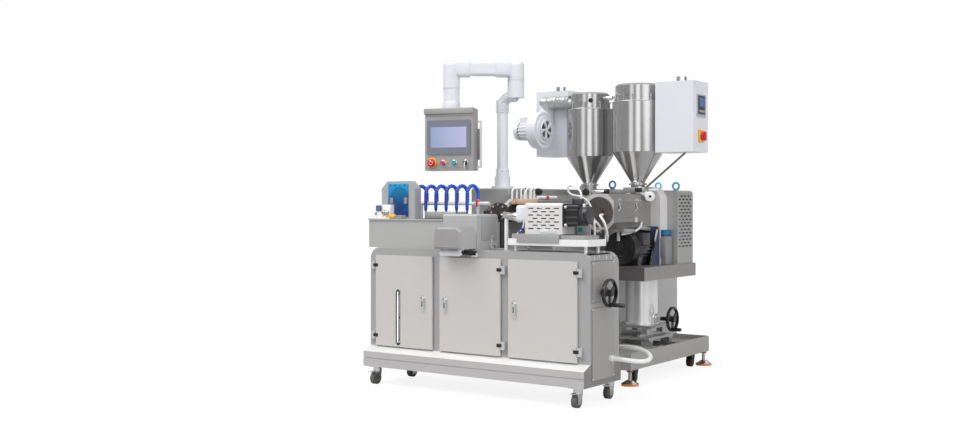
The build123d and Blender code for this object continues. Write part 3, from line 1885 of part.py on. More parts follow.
# drive motor on the platform
with BuildPart() as drive_motor:
    rod_y(co_x, motor_front, motor_rear, motor_z, motor_radius)
    rod_y(co_x, motor_front, motor_front + motor_cowl_long, motor_z, motor_cowl_radius)
    block(
        co_x - motor_foot_half,
        co_x + motor_foot_half,
        motor_front + motor_cowl_long,
        motor_rear,
        platform_top,
        motor_z,
    )
keep(drive_motor, "drive_motor")

# bracket that carries the barrel on the platform
with BuildPart() as barrel_bracket:
    block(
        co_x - bracket_plate_half,
        co_x + bracket_plate_half,
        bracket_plate_front,
        hood_front,
        platform_top,
        feed_low,
    )
    for hand in (1, -1):
        low, high = span(
            co_x + hand * (bracket_plate_half + gusset_thick), co_x + hand * bracket_plate_half
        )
        side_profile(
            (
                (bracket_plate_front - gusset_long, platform_top),
                (hood_front, platform_top),
                (hood_front, platform_top + gusset_tall),
                (bracket_plate_front, platform_top + gusset_tall),
            ),
            low,
            high,
        )
keep(barrel_bracket, "barrel_bracket")

# gear hood: a round-shouldered plate box
with BuildPart() as gear_hood:
    with BuildSketch(front(0, hood_rear, 0)) as outline:
        with BuildLine():
            FilletPolyline(
                (co_x - hood_half, platform_top),
                (co_x - hood_half, hood_top),
                (co_x + hood_half, hood_top),
                (co_x + hood_half, platform_top),
                radius=hood_arch,
            )
            Line((co_x + hood_half, platform_top), (co_x - hood_half, platform_top))
        make_face()
    extrude(outline.sketch, amount=hood_rear - hood_front)
keep(gear_hood, "gear_hood")

# slotted guard over the belt drive
with BuildPart() as slotted_guard:
    block(co_x - guard_half, co_x + guard_half, hood_rear, guard_box_rear, platform_top, guard_box_top)
    crown = slotted_guard.edges().filter_by(Axis.Y).group_by(Axis.Z)[-1]
    fillet(crown, radius=guard_box_corner)
    block(
        co_x - guard_half + guard_box_sheet,
        co_x + guard_half - guard_box_sheet,
        hood_rear + guard_box_sheet,
        guard_box_rear - guard_box_sheet,
        platform_top - cut_over,
        guard_box_top - guard_box_corner,
        Mode.SUBTRACT,
    )
    vent_pitch_y = (guard_box_rear - hood_rear - vent_inset) / vent_columns
    vent_pitch_z = (vent_high - vent_low) / vent_rows
    with BuildSketch(side(co_x + guard_half - guard_box_sheet - guard_box_sheet, 0, 0)) as vents:
        for row in range(vent_rows):
            shift = vent_pitch_y / 2 if row % 2 else 0
            for column in range(vent_columns - row % 2):
                with Locations(
                    (
                        hood_rear + vent_inset / 2 + shift + (column + 1 / 2) * vent_pitch_y,
                        vent_low + (row + 1 / 2) * vent_pitch_z,
                    )
                ):
                    Rectangle(vent_pitch_y * vent_long_share, vent_pitch_z * vent_tall_share)
    extrude(vents.sketch, amount=guard_box_sheet + guard_box_sheet + cut_over, mode=Mode.SUBTRACT)
keep(slotted_guard, "slotted_guard")

with BuildPart() as hood_eye:
    lifting_eye(hood_eye_x, hood_eye_y, guard_box_top)
keep(hood_eye, "hood_eye")

# barrel cover of the co-extruder: eight-sided
with BuildPart() as barrel_cover:
    front_profile(
        (
            (co_x - barrel_half + barrel_chamfer, barrel_low),
            (co_x + barrel_half - barrel_chamfer, barrel_low),
            (co_x + barrel_half, barrel_low + barrel_chamfer),
            (co_x + barrel_half, barrel_high - barrel_chamfer),
            (co_x + barrel_half - barrel_chamfer, barrel_high),
            (co_x - barrel_half + barrel_chamfer, barrel_high),
            (co_x - barrel_half, barrel_high - barrel_chamfer),
            (co_x - barrel_half, barrel_low + barrel_chamfer),
        ),
        barrel_front,
        barrel_rear,
    )
    front_x, front_y, front_z = left_hose_route[-1]
    block(
        front_x - hose_end_radius,
        front_x + hose_end_radius,
        front_y,
        front_y + hose_end_tall,
        front_z - hose_end_radius,
        barrel_low,
    )
    under_x, under_y, under_z = right_hose_route[-1]
    rod_z(under_x, under_y, under_z, barrel_low, hose_end_radius)
keep(barrel_cover, "barrel_cover")

with BuildPart() as nose_flange:
    rod_y(co_x, barrel_front - nose_thick, barrel_front, co_z, nose_radius)
    rod_y(co_x, barrel_front - nose_thick - nose_boss_long, barrel_front, co_z, nose_boss_radius)
    for hand in (1, -1):
        rod_y(
            co_x + hand * nipple_side,
            barrel_front - nose_thick - nipple_long,
            barrel_front,
            co_z - nipple_drop,
            nipple_radius,
        )
keep(nose_flange, "nose_flange")

# feed section between the barrel cover and the gear hood
with BuildPart() as feed_section:
    block(co_x - feed_half, co_x + feed_half, barrel_rear, hood_front, feed_low, feed_high)
    rod_z(co_x, co_hopper_y, feed_high, throat_top, throat_radius)
keep(feed_section, "feed_section")

with BuildPart() as hopper:
    hopper_shell(co_x, co_hopper_y, co_hopper_radius, co_cone_high, co_rim)
keep(hopper, "hopper")

with BuildPart() as hopper_lid:
    hopper_cap(co_x, co_hopper_y, co_hopper_radius, co_lid_radius, co_rim, co_lid_top)
keep(hopper_lid, "hopper_lid")

# dryer box beside the hopper, with a strut down to the feed throat
with BuildPart() as dryer_box:
    dryer_case(box_left, co_box_front)
    block(
        box_right,
        box_right + panel_board_thick,
        co_box_front + panel_board_inset,
        co_box_front + panel_board_inset + panel_board_wide,
        box_high - panel_board_drop - panel_board_tall,
        box_high - panel_board_drop,
    )
    switch_y = co_box_front + panel_board_inset + panel_board_wide / 2
    rod_x(box_right, box_right + switch_thick, switch_y, box_high - switch_drop, switch_radius)
    strut_low_x = co_x + throat_radius + contact_gap
    low_end = Vector(*spot(strut_low_x + strut_radius, strut_y, strut_low_z))
    high_end = Vector(*spot(strut_top_x, strut_y, box_low))
    with BuildSketch(Plane(origin=low_end, z_dir=high_end - low_end)) as strut:
        Circle(strut_radius)
    extrude(strut.sketch, amount=(high_end - low_end).length)
    block(
        strut_low_x,
        strut_low_x + strut_radius * 2,
        strut_y - strut_radius,
        strut_y + strut_radius,
        strut_low_z - strut_radius * 2,
        strut_low_z + strut_radius,
    )
keep(dryer_box, "dryer_box")


# a levelling foot: a round pad, a cone and a threaded stem
def levelling_foot(x, y, top):
    turned(
        x,
        y,
        (
            (0, 0),
            (foot_pad_radius, 0),
            (foot_pad_radius, foot_pad_tall),
            (foot_nut_radius, foot_pad_tall + foot_cone_tall),
            (foot_stem_radius, foot_pad_tall + foot_cone_tall),
            (foot_stem_radius, top - foot_nut_tall),
            (foot_nut_radius, top - foot_nut_tall),
            (foot_nut_radius, top),
            (0, top),
        ),
    )


with BuildPart() as levelling_feet:
    stands = (
        (co_x - pedestal_half, co_x + pedestal_half, pedestal_front, pedestal_rear),
        (cabinet_left, cabinet_right, cabinet_front, cabinet_rear),
        (main_stand_left, main_stand_right, main_stand_front, main_rear),
    )
    insets = (
        (pedestal_foot_inset, pedestal_foot_inset_y),
        (stand_foot_inset, stand_foot_inset_y),
        (stand_foot_inset, stand_foot_inset_y),
    )
    for (left, right, near, far), (inset_x, inset_y) in zip(stands, insets):
        for foot_x in (left + inset_x, right - inset_x):
            for foot_y in (near + inset_y, far - inset_y):
                levelling_foot(foot_x, foot_y, stand_clearance)
keep(levelling_feet, "levelling_feet")


# free cords: each is a tube along straight runs with arcs as large as the runs allow
def cord_tube(route, radius):
    points = [Vector(*spot(*place)) for place in route]
    corner_radii = []
    for before, corner, after in zip(points, points[1:], points[2:]):
        arriving = corner - before
        leaving = after - corner
        half_turn = radians(arriving.get_angle(leaving)) / 2
        corner_radii.append(cord_arc_share * min(arriving.length, leaving.length) / tan(half_turn))
    with BuildPart() as made:
        with BuildLine() as path:
            FilletPolyline(*points, radius=corner_radii)
        with BuildSketch(Plane(origin=path.line @ 0, z_dir=path.line % 0)) as section:
            Circle(radius)
        sweep(section.sketch, path=path.line)
    run = path.wires()[0].length
    print("corner radii", [round(size) for size in corner_radii], "length", round(run))
    print("volume over section times length", made.part.volume / run / (pi * radius**2))
    return made


conduit = cord_tube(conduit_route, conduit_radius)
keep(conduit, "conduit")
left_hose = cord_tube(left_hose_route, nose_hose_radius)
keep(left_hose, "left_hose")
right_hose = cord_tube(right_hose_route, nose_hose_radius)
keep(right_hose, "right_hose")
servo_cable = cord_tube(cable_route, cable_radius)
keep(servo_cable, "servo_cable")
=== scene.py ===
import bmesh
import bpy
import math
from mathutils import Matrix, Vector


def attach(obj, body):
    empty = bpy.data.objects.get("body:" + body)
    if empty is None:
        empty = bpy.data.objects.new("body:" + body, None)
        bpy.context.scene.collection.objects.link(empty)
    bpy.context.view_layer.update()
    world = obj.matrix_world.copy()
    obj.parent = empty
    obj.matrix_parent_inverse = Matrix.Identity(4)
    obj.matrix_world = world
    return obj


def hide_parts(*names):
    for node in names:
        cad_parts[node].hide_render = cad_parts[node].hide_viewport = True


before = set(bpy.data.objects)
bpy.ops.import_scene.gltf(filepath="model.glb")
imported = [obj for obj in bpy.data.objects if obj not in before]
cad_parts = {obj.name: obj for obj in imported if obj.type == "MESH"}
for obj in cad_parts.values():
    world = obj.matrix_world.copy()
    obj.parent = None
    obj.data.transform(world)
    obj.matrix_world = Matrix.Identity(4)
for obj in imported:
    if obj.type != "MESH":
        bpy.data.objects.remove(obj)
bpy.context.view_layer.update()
print("frame loaded", len(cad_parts), "nodes")

originShift = {"x": -805.0, "y": -1225.0}  # from the bench's front left castor to the middle, in mm
pendantTurn = {"at": (198.67, 550.49, 0), "degrees": 14.0}
armTurn = {"at": (555, 800, 0), "degrees": 35.0}


def spot(x, y, z):
    return Vector(((x + originShift["x"]) / 1000, (y + originShift["y"]) / 1000, z / 1000))


def layout(point):  # a place in the frame, back in mm from the castor
    return point.x * 1000 - originShift["x"], point.y * 1000 - originShift["y"], point.z * 1000


def addObject(name, data):
    item = bpy.data.objects.new(name, data)
    bpy.context.scene.collection.objects.link(item)
    return item


def toLinear(code):
    parts = [int(code[i:i + 2], 16) / 255 for i in (0, 2, 4)]
    return [c / 12.92 if c <= 0.04045 else ((c + 0.055) / 1.055) ** 2.4 for c in parts] + [1.0]


def newGroup(name, inputs, outputs):  # a shader group that the finishes share
    group = bpy.data.node_groups.new(name, "ShaderNodeTree")
    for label, kind, value in inputs:
        socket = group.interface.new_socket(label, in_out="INPUT", socket_type=kind)
        socket.default_value = value
    for label, kind in outputs:
        group.interface.new_socket(label, in_out="OUTPUT", socket_type=kind)
    return group, group.nodes.new("NodeGroupInput"), group.nodes.new("NodeGroupOutput")


def setInputs(tree, node, values):  # numbers, colors or other nodes' outputs, by name or place
    for key, value in values.items():
        if isinstance(value, bpy.types.NodeSocket):
            tree.links.new(value, node.inputs[key])
        else:
            node.inputs[key].default_value = value


def addNode(tree, kind, *inputs, **values):  # inputs by place, settings and more inputs by name
    node = tree.nodes.new(kind)
    for key in [key for key in values if hasattr(node, key)]:
        setattr(node, key, values.pop(key))
    setInputs(tree, node, {**dict(enumerate(inputs)), **values})
    return node


def objectSpace(tree):
    return tree.nodes.new("ShaderNodeTexCoord").outputs["Object"]


def mathNode(tree, operation, *inputs):
    return addNode(tree, "ShaderNodeMath", *inputs, operation=operation).outputs[0]


def rampNode(tree, value, stops):
    ramp = addNode(tree, "ShaderNodeValToRGB", value)
    while len(ramp.color_ramp.elements) < len(stops):
        ramp.color_ramp.elements.new(1.0)
    for element, (place, color) in zip(ramp.color_ramp.elements, stops):
        element.position = place
        element.color = toLinear(color) if isinstance(color, str) else (color, color, color, 1)
    return ramp.outputs[0]


def toneGroup():  # slow change of tone over a sheet, with dust in it
    group, source, sink = newGroup(
        "sheetTone",
        [("Color", "NodeSocketColor", (0.5, 0.5, 0.5, 1)), ("Spread", "NodeSocketFloat", 0.05),
         ("Size", "NodeSocketFloat", 3.0), ("Rough", "NodeSocketFloat", 0.4)],
        [("Color", "NodeSocketColor"), ("Rough", "NodeSocketFloat")],
    )
    slow = addNode(group, "ShaderNodeTexNoise", Vector=objectSpace(group), Scale=source.outputs["Size"], Detail=4.0)
    lean = mathNode(group, "SUBTRACT", slow.outputs[0], 0.5)
    swing = mathNode(group, "MULTIPLY", lean, source.outputs["Spread"])
    gain = mathNode(group, "ADD", mathNode(group, "MULTIPLY", swing, 2.0), 1.0)
    scale = addNode(group, "ShaderNodeVectorMath", source.outputs["Color"], operation="SCALE", Scale=gain)
    rough = mathNode(group, "ADD", source.outputs["Rough"], mathNode(group, "MULTIPLY", swing, 0.8))
    setInputs(group, sink, {"Color": scale.outputs[0], "Rough": rough})
    return group


def brushGroup():  # long fine lines of a brushed sheet
    group, source, sink = newGroup(
        "brushLines", [("Stretch", "NodeSocketVector", (4, 4, 400))], [("Line", "NodeSocketFloat")])
    mapping = addNode(group, "ShaderNodeMapping", Vector=objectSpace(group), Scale=source.outputs["Stretch"])
    lines = addNode(group, "ShaderNodeTexNoise", Vector=mapping.outputs[0], Scale=1.0, Detail=3.0)
    group.links.new(mathNode(group, "SUBTRACT", lines.outputs[0], 0.5), sink.inputs["Line"])
    return group


shared = {"tone": toneGroup(), "brush": brushGroup()}
paints = {}


def newMaterial(name, on=""):  # kept by its name, and put on the nodes that wear it
    material = paints[name] = bpy.data.materials.new(name)
    material.use_nodes = True
    for nodeName in on.split():
        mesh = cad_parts[nodeName].data
        mesh.materials.clear()
        mesh.materials.append(material)
    return material.node_tree, material.node_tree.nodes["Principled BSDF"]


def finish(name, color, rough=0.4, metal=0.0, spread=0.03, size=3.0, brush=None, coat=0.0, grain=0.0, bump=0.1,
           glow=0.0, on=""):
    tree, shader = newMaterial(name, on)
    tone = addNode(tree, "ShaderNodeGroup", node_tree=shared["tone"], Color=toLinear(color), Spread=spread, Size=size,
                   Rough=rough)
    roughOut = tone.outputs["Rough"]
    if brush:
        lines = addNode(tree, "ShaderNodeGroup", node_tree=shared["brush"], Stretch=brush)
        roughOut = mathNode(tree, "ADD", roughOut, mathNode(tree, "MULTIPLY", lines.outputs[0], 0.12))
    if grain:
        fine = addNode(tree, "ShaderNodeTexNoise", Vector=objectSpace(tree), Scale=grain, Detail=2.0)
        relief = addNode(tree, "ShaderNodeBump", Strength=bump, Distance=0.0006 if grain > 100 else 0.006,
                         Height=fine.outputs[0])
        tree.links.new(relief.outputs[0], shader.inputs["Normal"])
    setInputs(tree, shader, {"Base Color": tone.outputs["Color"], "Roughness": roughOut, "Metallic": metal,
                             "Coat Weight": coat})
    if glow:
        setInputs(tree, shader, {"Emission Color": toLinear(color), "Emission Strength": glow})


def gradient(name, axis, low, high, stops, rough, disc=None, on=""):  # a tone that runs along one axis, in mm
    tree, shader = newMaterial(name, on)
    place = objectSpace(tree)
    split = addNode(tree, "ShaderNodeSeparateXYZ", place)
    start, end = spot(low, low, low)[axis], spot(high, high, high)[axis]
    along = mathNode(tree, "DIVIDE", mathNode(tree, "SUBTRACT", split.outputs[axis], start), end - start)
    color = rampNode(tree, along, stops)
    if disc:  # a darker round part behind the pane
        middle, radius, depth = spot(*disc[0]), disc[1] / 1000, disc[2]
        gap = addNode(tree, "ShaderNodeVectorMath", place, middle, operation="DISTANCE").outputs["Value"]
        shade = rampNode(tree, mathNode(tree, "DIVIDE", gap, radius), [(0.0, depth), (0.86, depth), (0.98, 1.0)])
        color = addNode(tree, "ShaderNodeVectorMath", color, shade, operation="MULTIPLY").outputs[0]
    setInputs(tree, shader, {"Base Color": color, "Roughness": rough})


alongX, alongY, alongZ = (3, 260, 260), (260, 3, 260), (260, 260, 3)
finish("frameSteel", "A9A9A9", 0.42, 0.2, brush=alongX, on="bench_frame")
finish("skirtSteel", "BDBBBB", 0.42, 0.2, brush=alongX, on="bench_base")
# lighter copy of the skirt steel for the top slope: painted light
finish("skirtTopPaintedLight", "DCDCDB", 0.38, 0.1, brush=alongX)
# darker copy of the skirt steel for the right end faces: painted shade
finish("skirtEndPaintedShade", "8A8989", 0.42, 0.2, brush=alongY)
finish("pedestalSteel", "A9A8A5", 0.40, 0.25, brush=alongY, on="pedestal_base")
finish("seamGrey", "C4C5CB", 0.4)
finish("doorSheet", "CBC7C4", 0.42, 0.1, 0.02, 1.6, brush=alongZ, on="left_door middle_door right_door")
finish("endSheet", "A7A5A4", 0.42, 0.25, brush=alongZ, on="end_panels")
finish("platformSheet", "A5A3A2", 0.32, 0.75, brush=alongX, on="platform")
# darker copy of the platform sheet for its front faces: painted shade and painted reflection of the dark bench
finish("platformFrontPaintedShade", "626060", 0.40, 0.3, brush=alongX)
finish("troughSheet", "B9B9B8", 0.40, 0.25, brush=alongX, on="water_trough")
finish("cutterSheet", "B4B5B6", 0.40, 0.2, brush=alongX, on="cutter_housing")
finish("cabinetSheet", "A8A9A9", 0.42, 0.2, brush=alongY, on="control_cabinet")
finish("hoodSheet", "B2B2B0", 0.30, 0.75, 0.05, 2.0, brush=alongY, on="main_hood main_barrel")
finish("guardSheet", "B2B2B0", 0.34, 0.5, 0.04, 2.5, brush=alongZ, on="slotted_guard")
finish("gearSheet", "E4E2E2", 0.36, 0.12, 0.04, 2.5, brush=alongZ, on="gear_hood")
finish("pumpSheet", "E2DFDE", 0.36, 0.1, 0.03, 2.5, brush=alongX, on="pump_drive_cover")
finish("barrelSheet", "9C9A99", 0.30, 0.6, 0.05, 2.5, brush=alongY, on="barrel_cover feed_section")
# lighter copy of the barrel sheet for the cover's front faces: painted light, against the darker sheet on its other
# faces
finish("barrelFrontPaintedLight", "D2CDCD", 0.34, 0.25, brush=alongX)
finish("bracketDark", "4A5068", 0.36, 0.3, on="barrel_bracket")
finish("polished", "D9D9D9", 0.16, 1.0, brush=alongZ, on="castor_forks levelling_feet")
finish("chrome", "E2E2E3", 0.14, 1.0)
finish("columnSteel", "F2F2F2", 0.22, 0.6, brush=alongX, on="lift_column")
finish("hopperSteel", "B8B7B7", 0.17, 0.82, brush=alongX, on="hopper hopper_lid main_hopper main_hopper_lid")
finish("coverGrey", "B8B8B8", 0.42, 0.1, grain=700, on="vacuum_cover")
finish("motorCover", "9E9C9D", 0.42, 0.1, grain=700, on="motor_cover")
finish("coverPanel", "8E8D8D", 0.42, 0.1)
finish("tankPanel", "A9A8A8", 0.42, 0.1)
# duct paint with a glow: painted light on a duct that sits in the cover's shadow
finish("ductGrey", "D0D2D5", 0.5, 0.0, 0.06, 9.0, grain=60, bump=0.2, glow=0.12, on="exhaust_duct")
finish("whitePaint", "E6E8EE", 0.34, 0.0, 0.02, coat=0.1, grain=900, bump=0.05,
       on="coolant_manifold pendant_post pendant_arm main_dryer_box dryer_blower dryer_box")
finish("aluminium", "F0F0F1", 0.36, 0.05, brush=alongX, on="pump_table pump_coupling gauge_head")
finish("trayGrey", "A5A5A5", 0.4, 0.2)
finish("darkSteel", "4E4A47", 0.36, 0.8, 0.2, 14.0, grain=500, bump=0.2, on="die_head")
finish("noseSteel", "6A6663", 0.30, 0.8, 0.08, 6.0, on="nose_flange")
finish("blackPaint", "1D1D20", 0.36, 0.0, 0.15, 8.0, coat=0.1, grain=800, on="servo_motor drive_motor")
finish("motorGrey", "4A4A4E", 0.36, 0.2, 0.1, 8.0)
finish("blackPlastic", "17171A", 0.26, 0.0, 0.1, 8.0, coat=0.2, grain=900, bump=0.06,
       on="bench_handwheel column_handwheel")
finish("castorTread", "5A5957", 0.6, 0.0, 0.2, 20.0, grain=900, bump=0.25, on="castor_wheels")
# near-black paint: the own colour of cables, seams and screw heads, and painted shade where it fills holes, slots,
# grooves and the insides of slotted covers
finish("hollow", "121214", 0.7)
gradient("blueWindow", 2, 1086, 1292, [(0.0, "0E2F72"), (0.35, "14569E"), (0.7, "1488C8"), (1.0, "1FA6E2")],
         0.12, ((96, 122, 1196), 84, 0.62), on="cutter_window")
finish("blueHose", "2160E0", 0.28, 0.0, 0.08, 30.0, coat=0.3)
finish("blueDark", "122C78", 0.35, on="coolant_hoses")
finish("blueSteel", "1F6C9A", 0.4, 0.1)
finish("redLever", "D3222B", 0.32, coat=0.2, on="valve_levers")
finish("orangeCap", "EE7A1C", 0.4, coat=0.1)
finish("padOrange", "F08436", 0.5)
finish("nutOrange", "B8583C", 0.4, 0.4)
finish("yellowCap", "F4B62B", 0.34, coat=0.2)
finish("greenCap", "17A79B", 0.3, coat=0.2)
finish("brass", "C79A5C", 0.28, 0.9)
finish("tanBand", "D8B79A", 0.6, 0.0, 0.15, 30.0)
# level tube paint that glows: painted light on a tube that sits in the slot's shade
finish("levelTube", "F4F5F6", 0.3, coat=0.2, glow=0.85, on="level_tube")
# the plate behind the level tube glows: painted light in the shaded slot
finish("levelBack", "D4D5D6", 0.4, glow=0.2)
finish("bezelGrey", "7A7E8C", 0.42, grain=900, bump=0.05, on="pendant_controls")
finish("pendantSteel", "A8A6A5", 0.38, 0.3, brush=alongX, on="pendant_box")
gradient("screenPane", 0, 70, 330, [(0.0, "93A4C2"), (0.4, "A6B2D2"), (1.0, "BBBEDF")], 0.3)
finish("lcdPane", "5478A8", 0.2, coat=0.4)
finish("lcdDark", "3C4350", 0.3)
finish("foil", "B9BABB", 0.34, 0.5, 0.3, 25.0, grain=45, bump=0.9)
finish("eyeBlue", "5DB4E4", 0.38, 0.0, 0.05, 20.0, coat=0.2, on="lifting_eyes hood_eye")
finish("standGrey", "B4B4B4", 0.42, 0.25, brush=alongZ, on="main_stand")
finish("saddleSteel", "B2B2B2", 0.28, 0.7, brush=alongX, on="cross_saddle long_saddle")
finish("strutSteel", "8E877D", 0.25, 0.9)
finish("whiteHose", "EDEDEC", 0.34, 0.0, 0.02, 8.0, coat=0.1, on="conduit left_hose right_hose servo_cable")


def tint(nodeName, paintName, test):  # a second finish on the faces whose middles pass the test
    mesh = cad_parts[nodeName].data
    mesh.materials.append(paints[paintName])
    number = len(mesh.materials) - 1
    for face in mesh.polygons:
        if test(*layout(face.center)):
            face.material_index = number


def acrossPendant(x, y):
    turn = math.radians(pendantTurn["degrees"])
    return (x - pendantTurn["at"][0]) * math.cos(turn) + (y - pendantTurn["at"][1]) * math.sin(turn)


for doorName in ("left_door", "middle_door", "right_door"):
    tint(doorName, "chrome", lambda x, y, z: y < 13.4)
    tint(doorName, "blackPlastic", lambda x, y, z: y < 13.4 and min(abs(z - 315), abs(z - 767.5)) < 30)
tint("bench_frame", "chrome", lambda x, y, z: y < 31.5)
tint("bench_frame", "chrome", lambda x, y, z: z > 833 and x > 1200 and 50 < y < 340 and z < 879)
tint("end_panels", "blackPlastic", lambda x, y, z: x > 1576.5 and z > 500)
tint("end_panels", "whiteHose", lambda x, y, z: x > 1576.5 and z < 400)
tint("pedestal_base", "whiteHose", lambda x, y, z: y < 840.5)
tint("pedestal_base", "chrome", lambda x, y, z: 176.5 < z < 207.5 and abs(x - 1172) < 215 and 1250 < y < 1630)
tint("coolant_manifold", "orangeCap", lambda x, y, z: z > 1178)
tint("nose_flange", "brass", lambda x, y, z: y < 840.5 and abs(x - 1172) > 34)
tint("dryer_box", "coverGrey", lambda x, y, z: x > 1624 and z > 1730)
tint("dryer_box", "yellowCap", lambda x, y, z: x > 1624 and z < 1700)
tint("dryer_box", "strutSteel", lambda x, y, z: z < 1507.5)
for boxName in ("dryer_box", "main_dryer_box"):
    tint(boxName, "chrome", lambda x, y, z: z > 1979.5)
tint("dryer_blower", "foil", lambda x, y, z: z > 1842 and not (y > 1421 and x < 475 and z < 1850))
tint("castor_wheels", "blackPlastic", lambda x, y, z: y > 600)
tint("castor_forks", "blackPaint", lambda x, y, z: y > 600)
tint("levelling_feet", "padOrange", lambda x, y, z: z < 11)
tint("levelling_feet", "nutOrange", lambda x, y, z: z > 85.5)
tint("pump_coupling", "chrome", lambda x, y, z: x < 1042 and z > 1030)
tint("pump_table", "trayGrey", lambda x, y, z: z > 955.5 and x < 1346)
tint("pendant_controls", "redLever", lambda x, y, z: z < 1485 and acrossPendant(x, y) < 0)
tint("pendant_controls", "greenCap", lambda x, y, z: z < 1485 and 0 < acrossPendant(x, y) < 80)
tint("pendant_controls", "blackPlastic", lambda x, y, z: z < 1485 and acrossPendant(x, y) > 80)
tint("pendant_box", "whitePaint", lambda x, y, z: z > 1804.5)
tint("pendant_box", "aluminium", lambda x, y, z: abs(acrossPendant(x, y)) > 177)
# the skirt's right end faces take the darker copy: painted shade
tint("bench_base", "skirtEndPaintedShade", lambda x, y, z: x > 1560 and z < 244)
tint("motor_cover", "coverGrey", lambda x, y, z: x > 753)
# the front faces of the barrel cover take the lighter copy: painted light
tint("barrel_cover", "barrelFrontPaintedLight", lambda x, y, z: y < 855.5)
tint("barrel_bracket", "chrome", lambda x, y, z: abs(abs(x - 1172) - 125) < 5 and y < 1430)
# the platform's front faces take the darker copy: painted shade
tint("platform", "platformFrontPaintedShade", lambda x, y, z: y < 1028)
# the level slot's inner walls are painted near-black: painted shade
tint("left_door", "hollow", lambda x, y, z: abs(x - 176) < 16 and 262 < z < 614 and y > 13.6)
# the top slope faces of the skirt take the lighter copy: painted light
tint("bench_base", "skirtTopPaintedLight", lambda x, y, z: 214 < z < 244.5 and y < 32)
print("finishes set")


def boxIn(shape, xs, ys, zs, edge=0.0, steps=2):  # the solids of the small pieces take mm of the layout
    low, high = spot(xs[0], ys[0], zs[0]), spot(xs[1], ys[1], zs[1])
    place = Matrix.Translation((low + high) / 2) @ Matrix.Diagonal((*(high - low), 1))
    made = bmesh.ops.create_cube(shape, size=1.0, matrix=place)
    if edge:
        edges = list({e for v in made["verts"] for e in v.link_edges})
        bmesh.ops.bevel(shape, geom=edges, offset=edge / 1000, affect="EDGES", segments=steps, profile=0.5,
                        material=-1)


def rodIn(shape, start, end, radius, sides=24, edge=0.0, tip=None):
    low, high = spot(*start), spot(*end)
    run = high - low
    place = Matrix.Translation((low + high) / 2) @ run.to_track_quat("Z", "Y").to_matrix().to_4x4()
    made = bmesh.ops.create_cone(shape, cap_ends=True, segments=sides, radius1=radius / 1000,
                                 radius2=(radius if tip is None else tip) / 1000, depth=run.length, matrix=place)
    if edge:
        caps = {f for v in made["verts"] for f in v.link_faces if len(f.verts) > 4}
        edges = list({e for f in caps for e in f.edges})
        bmesh.ops.bevel(shape, geom=edges, offset=edge / 1000, affect="EDGES", segments=2, profile=0.5, material=-1)


def ringIn(shape, middle, axis, side, radius, wire, turn=360.0, sides=32, rim=10):
    axis, side, cent = Vector(axis), Vector(side), spot(*middle)
    tangent = axis.cross(side)
    place = Matrix.Translation(cent + side * radius / 1000) @ tangent.to_track_quat("Z", "Y").to_matrix().to_4x4()
    made = bmesh.ops.create_circle(shape, cap_ends=False, segments=rim, radius=wire / 1000, matrix=place)
    edges = list({e for v in made["verts"] for e in v.link_edges})
    bmesh.ops.spin(shape, geom=list(made["verts"]) + edges, cent=cent, axis=axis, angle=math.radians(turn),
                   steps=sides, use_merge=turn == 360.0)


def ballIn(shape, middle, radius, flat=(1, 1, 1)):
    place = Matrix.Translation(spot(*middle)) @ Matrix.Diagonal((*flat, 1))
    bmesh.ops.create_uvsphere(shape, u_segments=16, v_segments=8, radius=radius / 1000, matrix=place)


def makePiece(name, shape, paint, body, turn=None):
    if turn:  # pieces on the pendant and its arm stand at their angles
        bmesh.ops.rotate(shape, verts=shape.verts, cent=spot(*turn["at"]),
                         matrix=Matrix.Rotation(math.radians(turn["degrees"]), 3, "Z"))
    bmesh.ops.recalc_face_normals(shape, faces=shape.faces)
    mesh = bpy.data.meshes.new(name)
    shape.to_mesh(mesh)
    shape.free()
    mesh.shade_smooth()
    mesh.set_sharp_from_angle(angle=math.radians(35))
    mesh.materials.append(paints[paint])
    piece = addObject(name, mesh)
    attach(piece, body)


def addPieces(body, pieces, turn=None):  # each piece lists its solids with the values of boxIn, rodIn, ringIn, ballIn
    for name, values in pieces.items():
        shape = bmesh.new()
        for kind, makeSolid in (("boxes", boxIn), ("rods", rodIn), ("rings", ringIn), ("balls", ballIn)):
            for solid in values.get(kind, ()):
                makeSolid(shape, *solid)
        makePiece(name, shape, values["paint"], body, turn)


def around(count, start=0.0):  # cosine and sine of even steps of a circle
    turns = [math.radians(start + 360 * i / count) for i in range(count)]
    return [(math.cos(turn), math.sin(turn)) for turn in turns]


xAxis, yAxis, zAxis = (1, 0, 0), (0, 1, 0), (0, 0, 1)

benchBits = {  # latches and hinges by door, the level slot, and the panels of the ends
    "latches": {"left_door": 378.98, "middle_door": 553.06, "right_door": 1067.05}, "latchZ": 538,
    "hinges": {"left_door": (-23.5, 1), "middle_door": (969.58, -1), "right_door": (1501.5, -1)},
    "hingeZs": (315, 767.5), "screwIn": 18, "screwDrops": (-6, 6),
    "slotX": 176, "slotLow": 264, "slotHigh": 612, "slotHalf": 15, "slotY": 12.5, "markZs": (290, 435, 585),
    "panelXs": (1576, -74), "panelYs": (60, 304), "panelZs": (606, 822, 159, 556),
    "seamFrames": ((52, 312, 597, 831), (52, 312, 150, 565)), "seamXs": (1572.8, 1573.8),
    "stripYs": (96, 150, 236, 290), "stripWidth": 9,
}


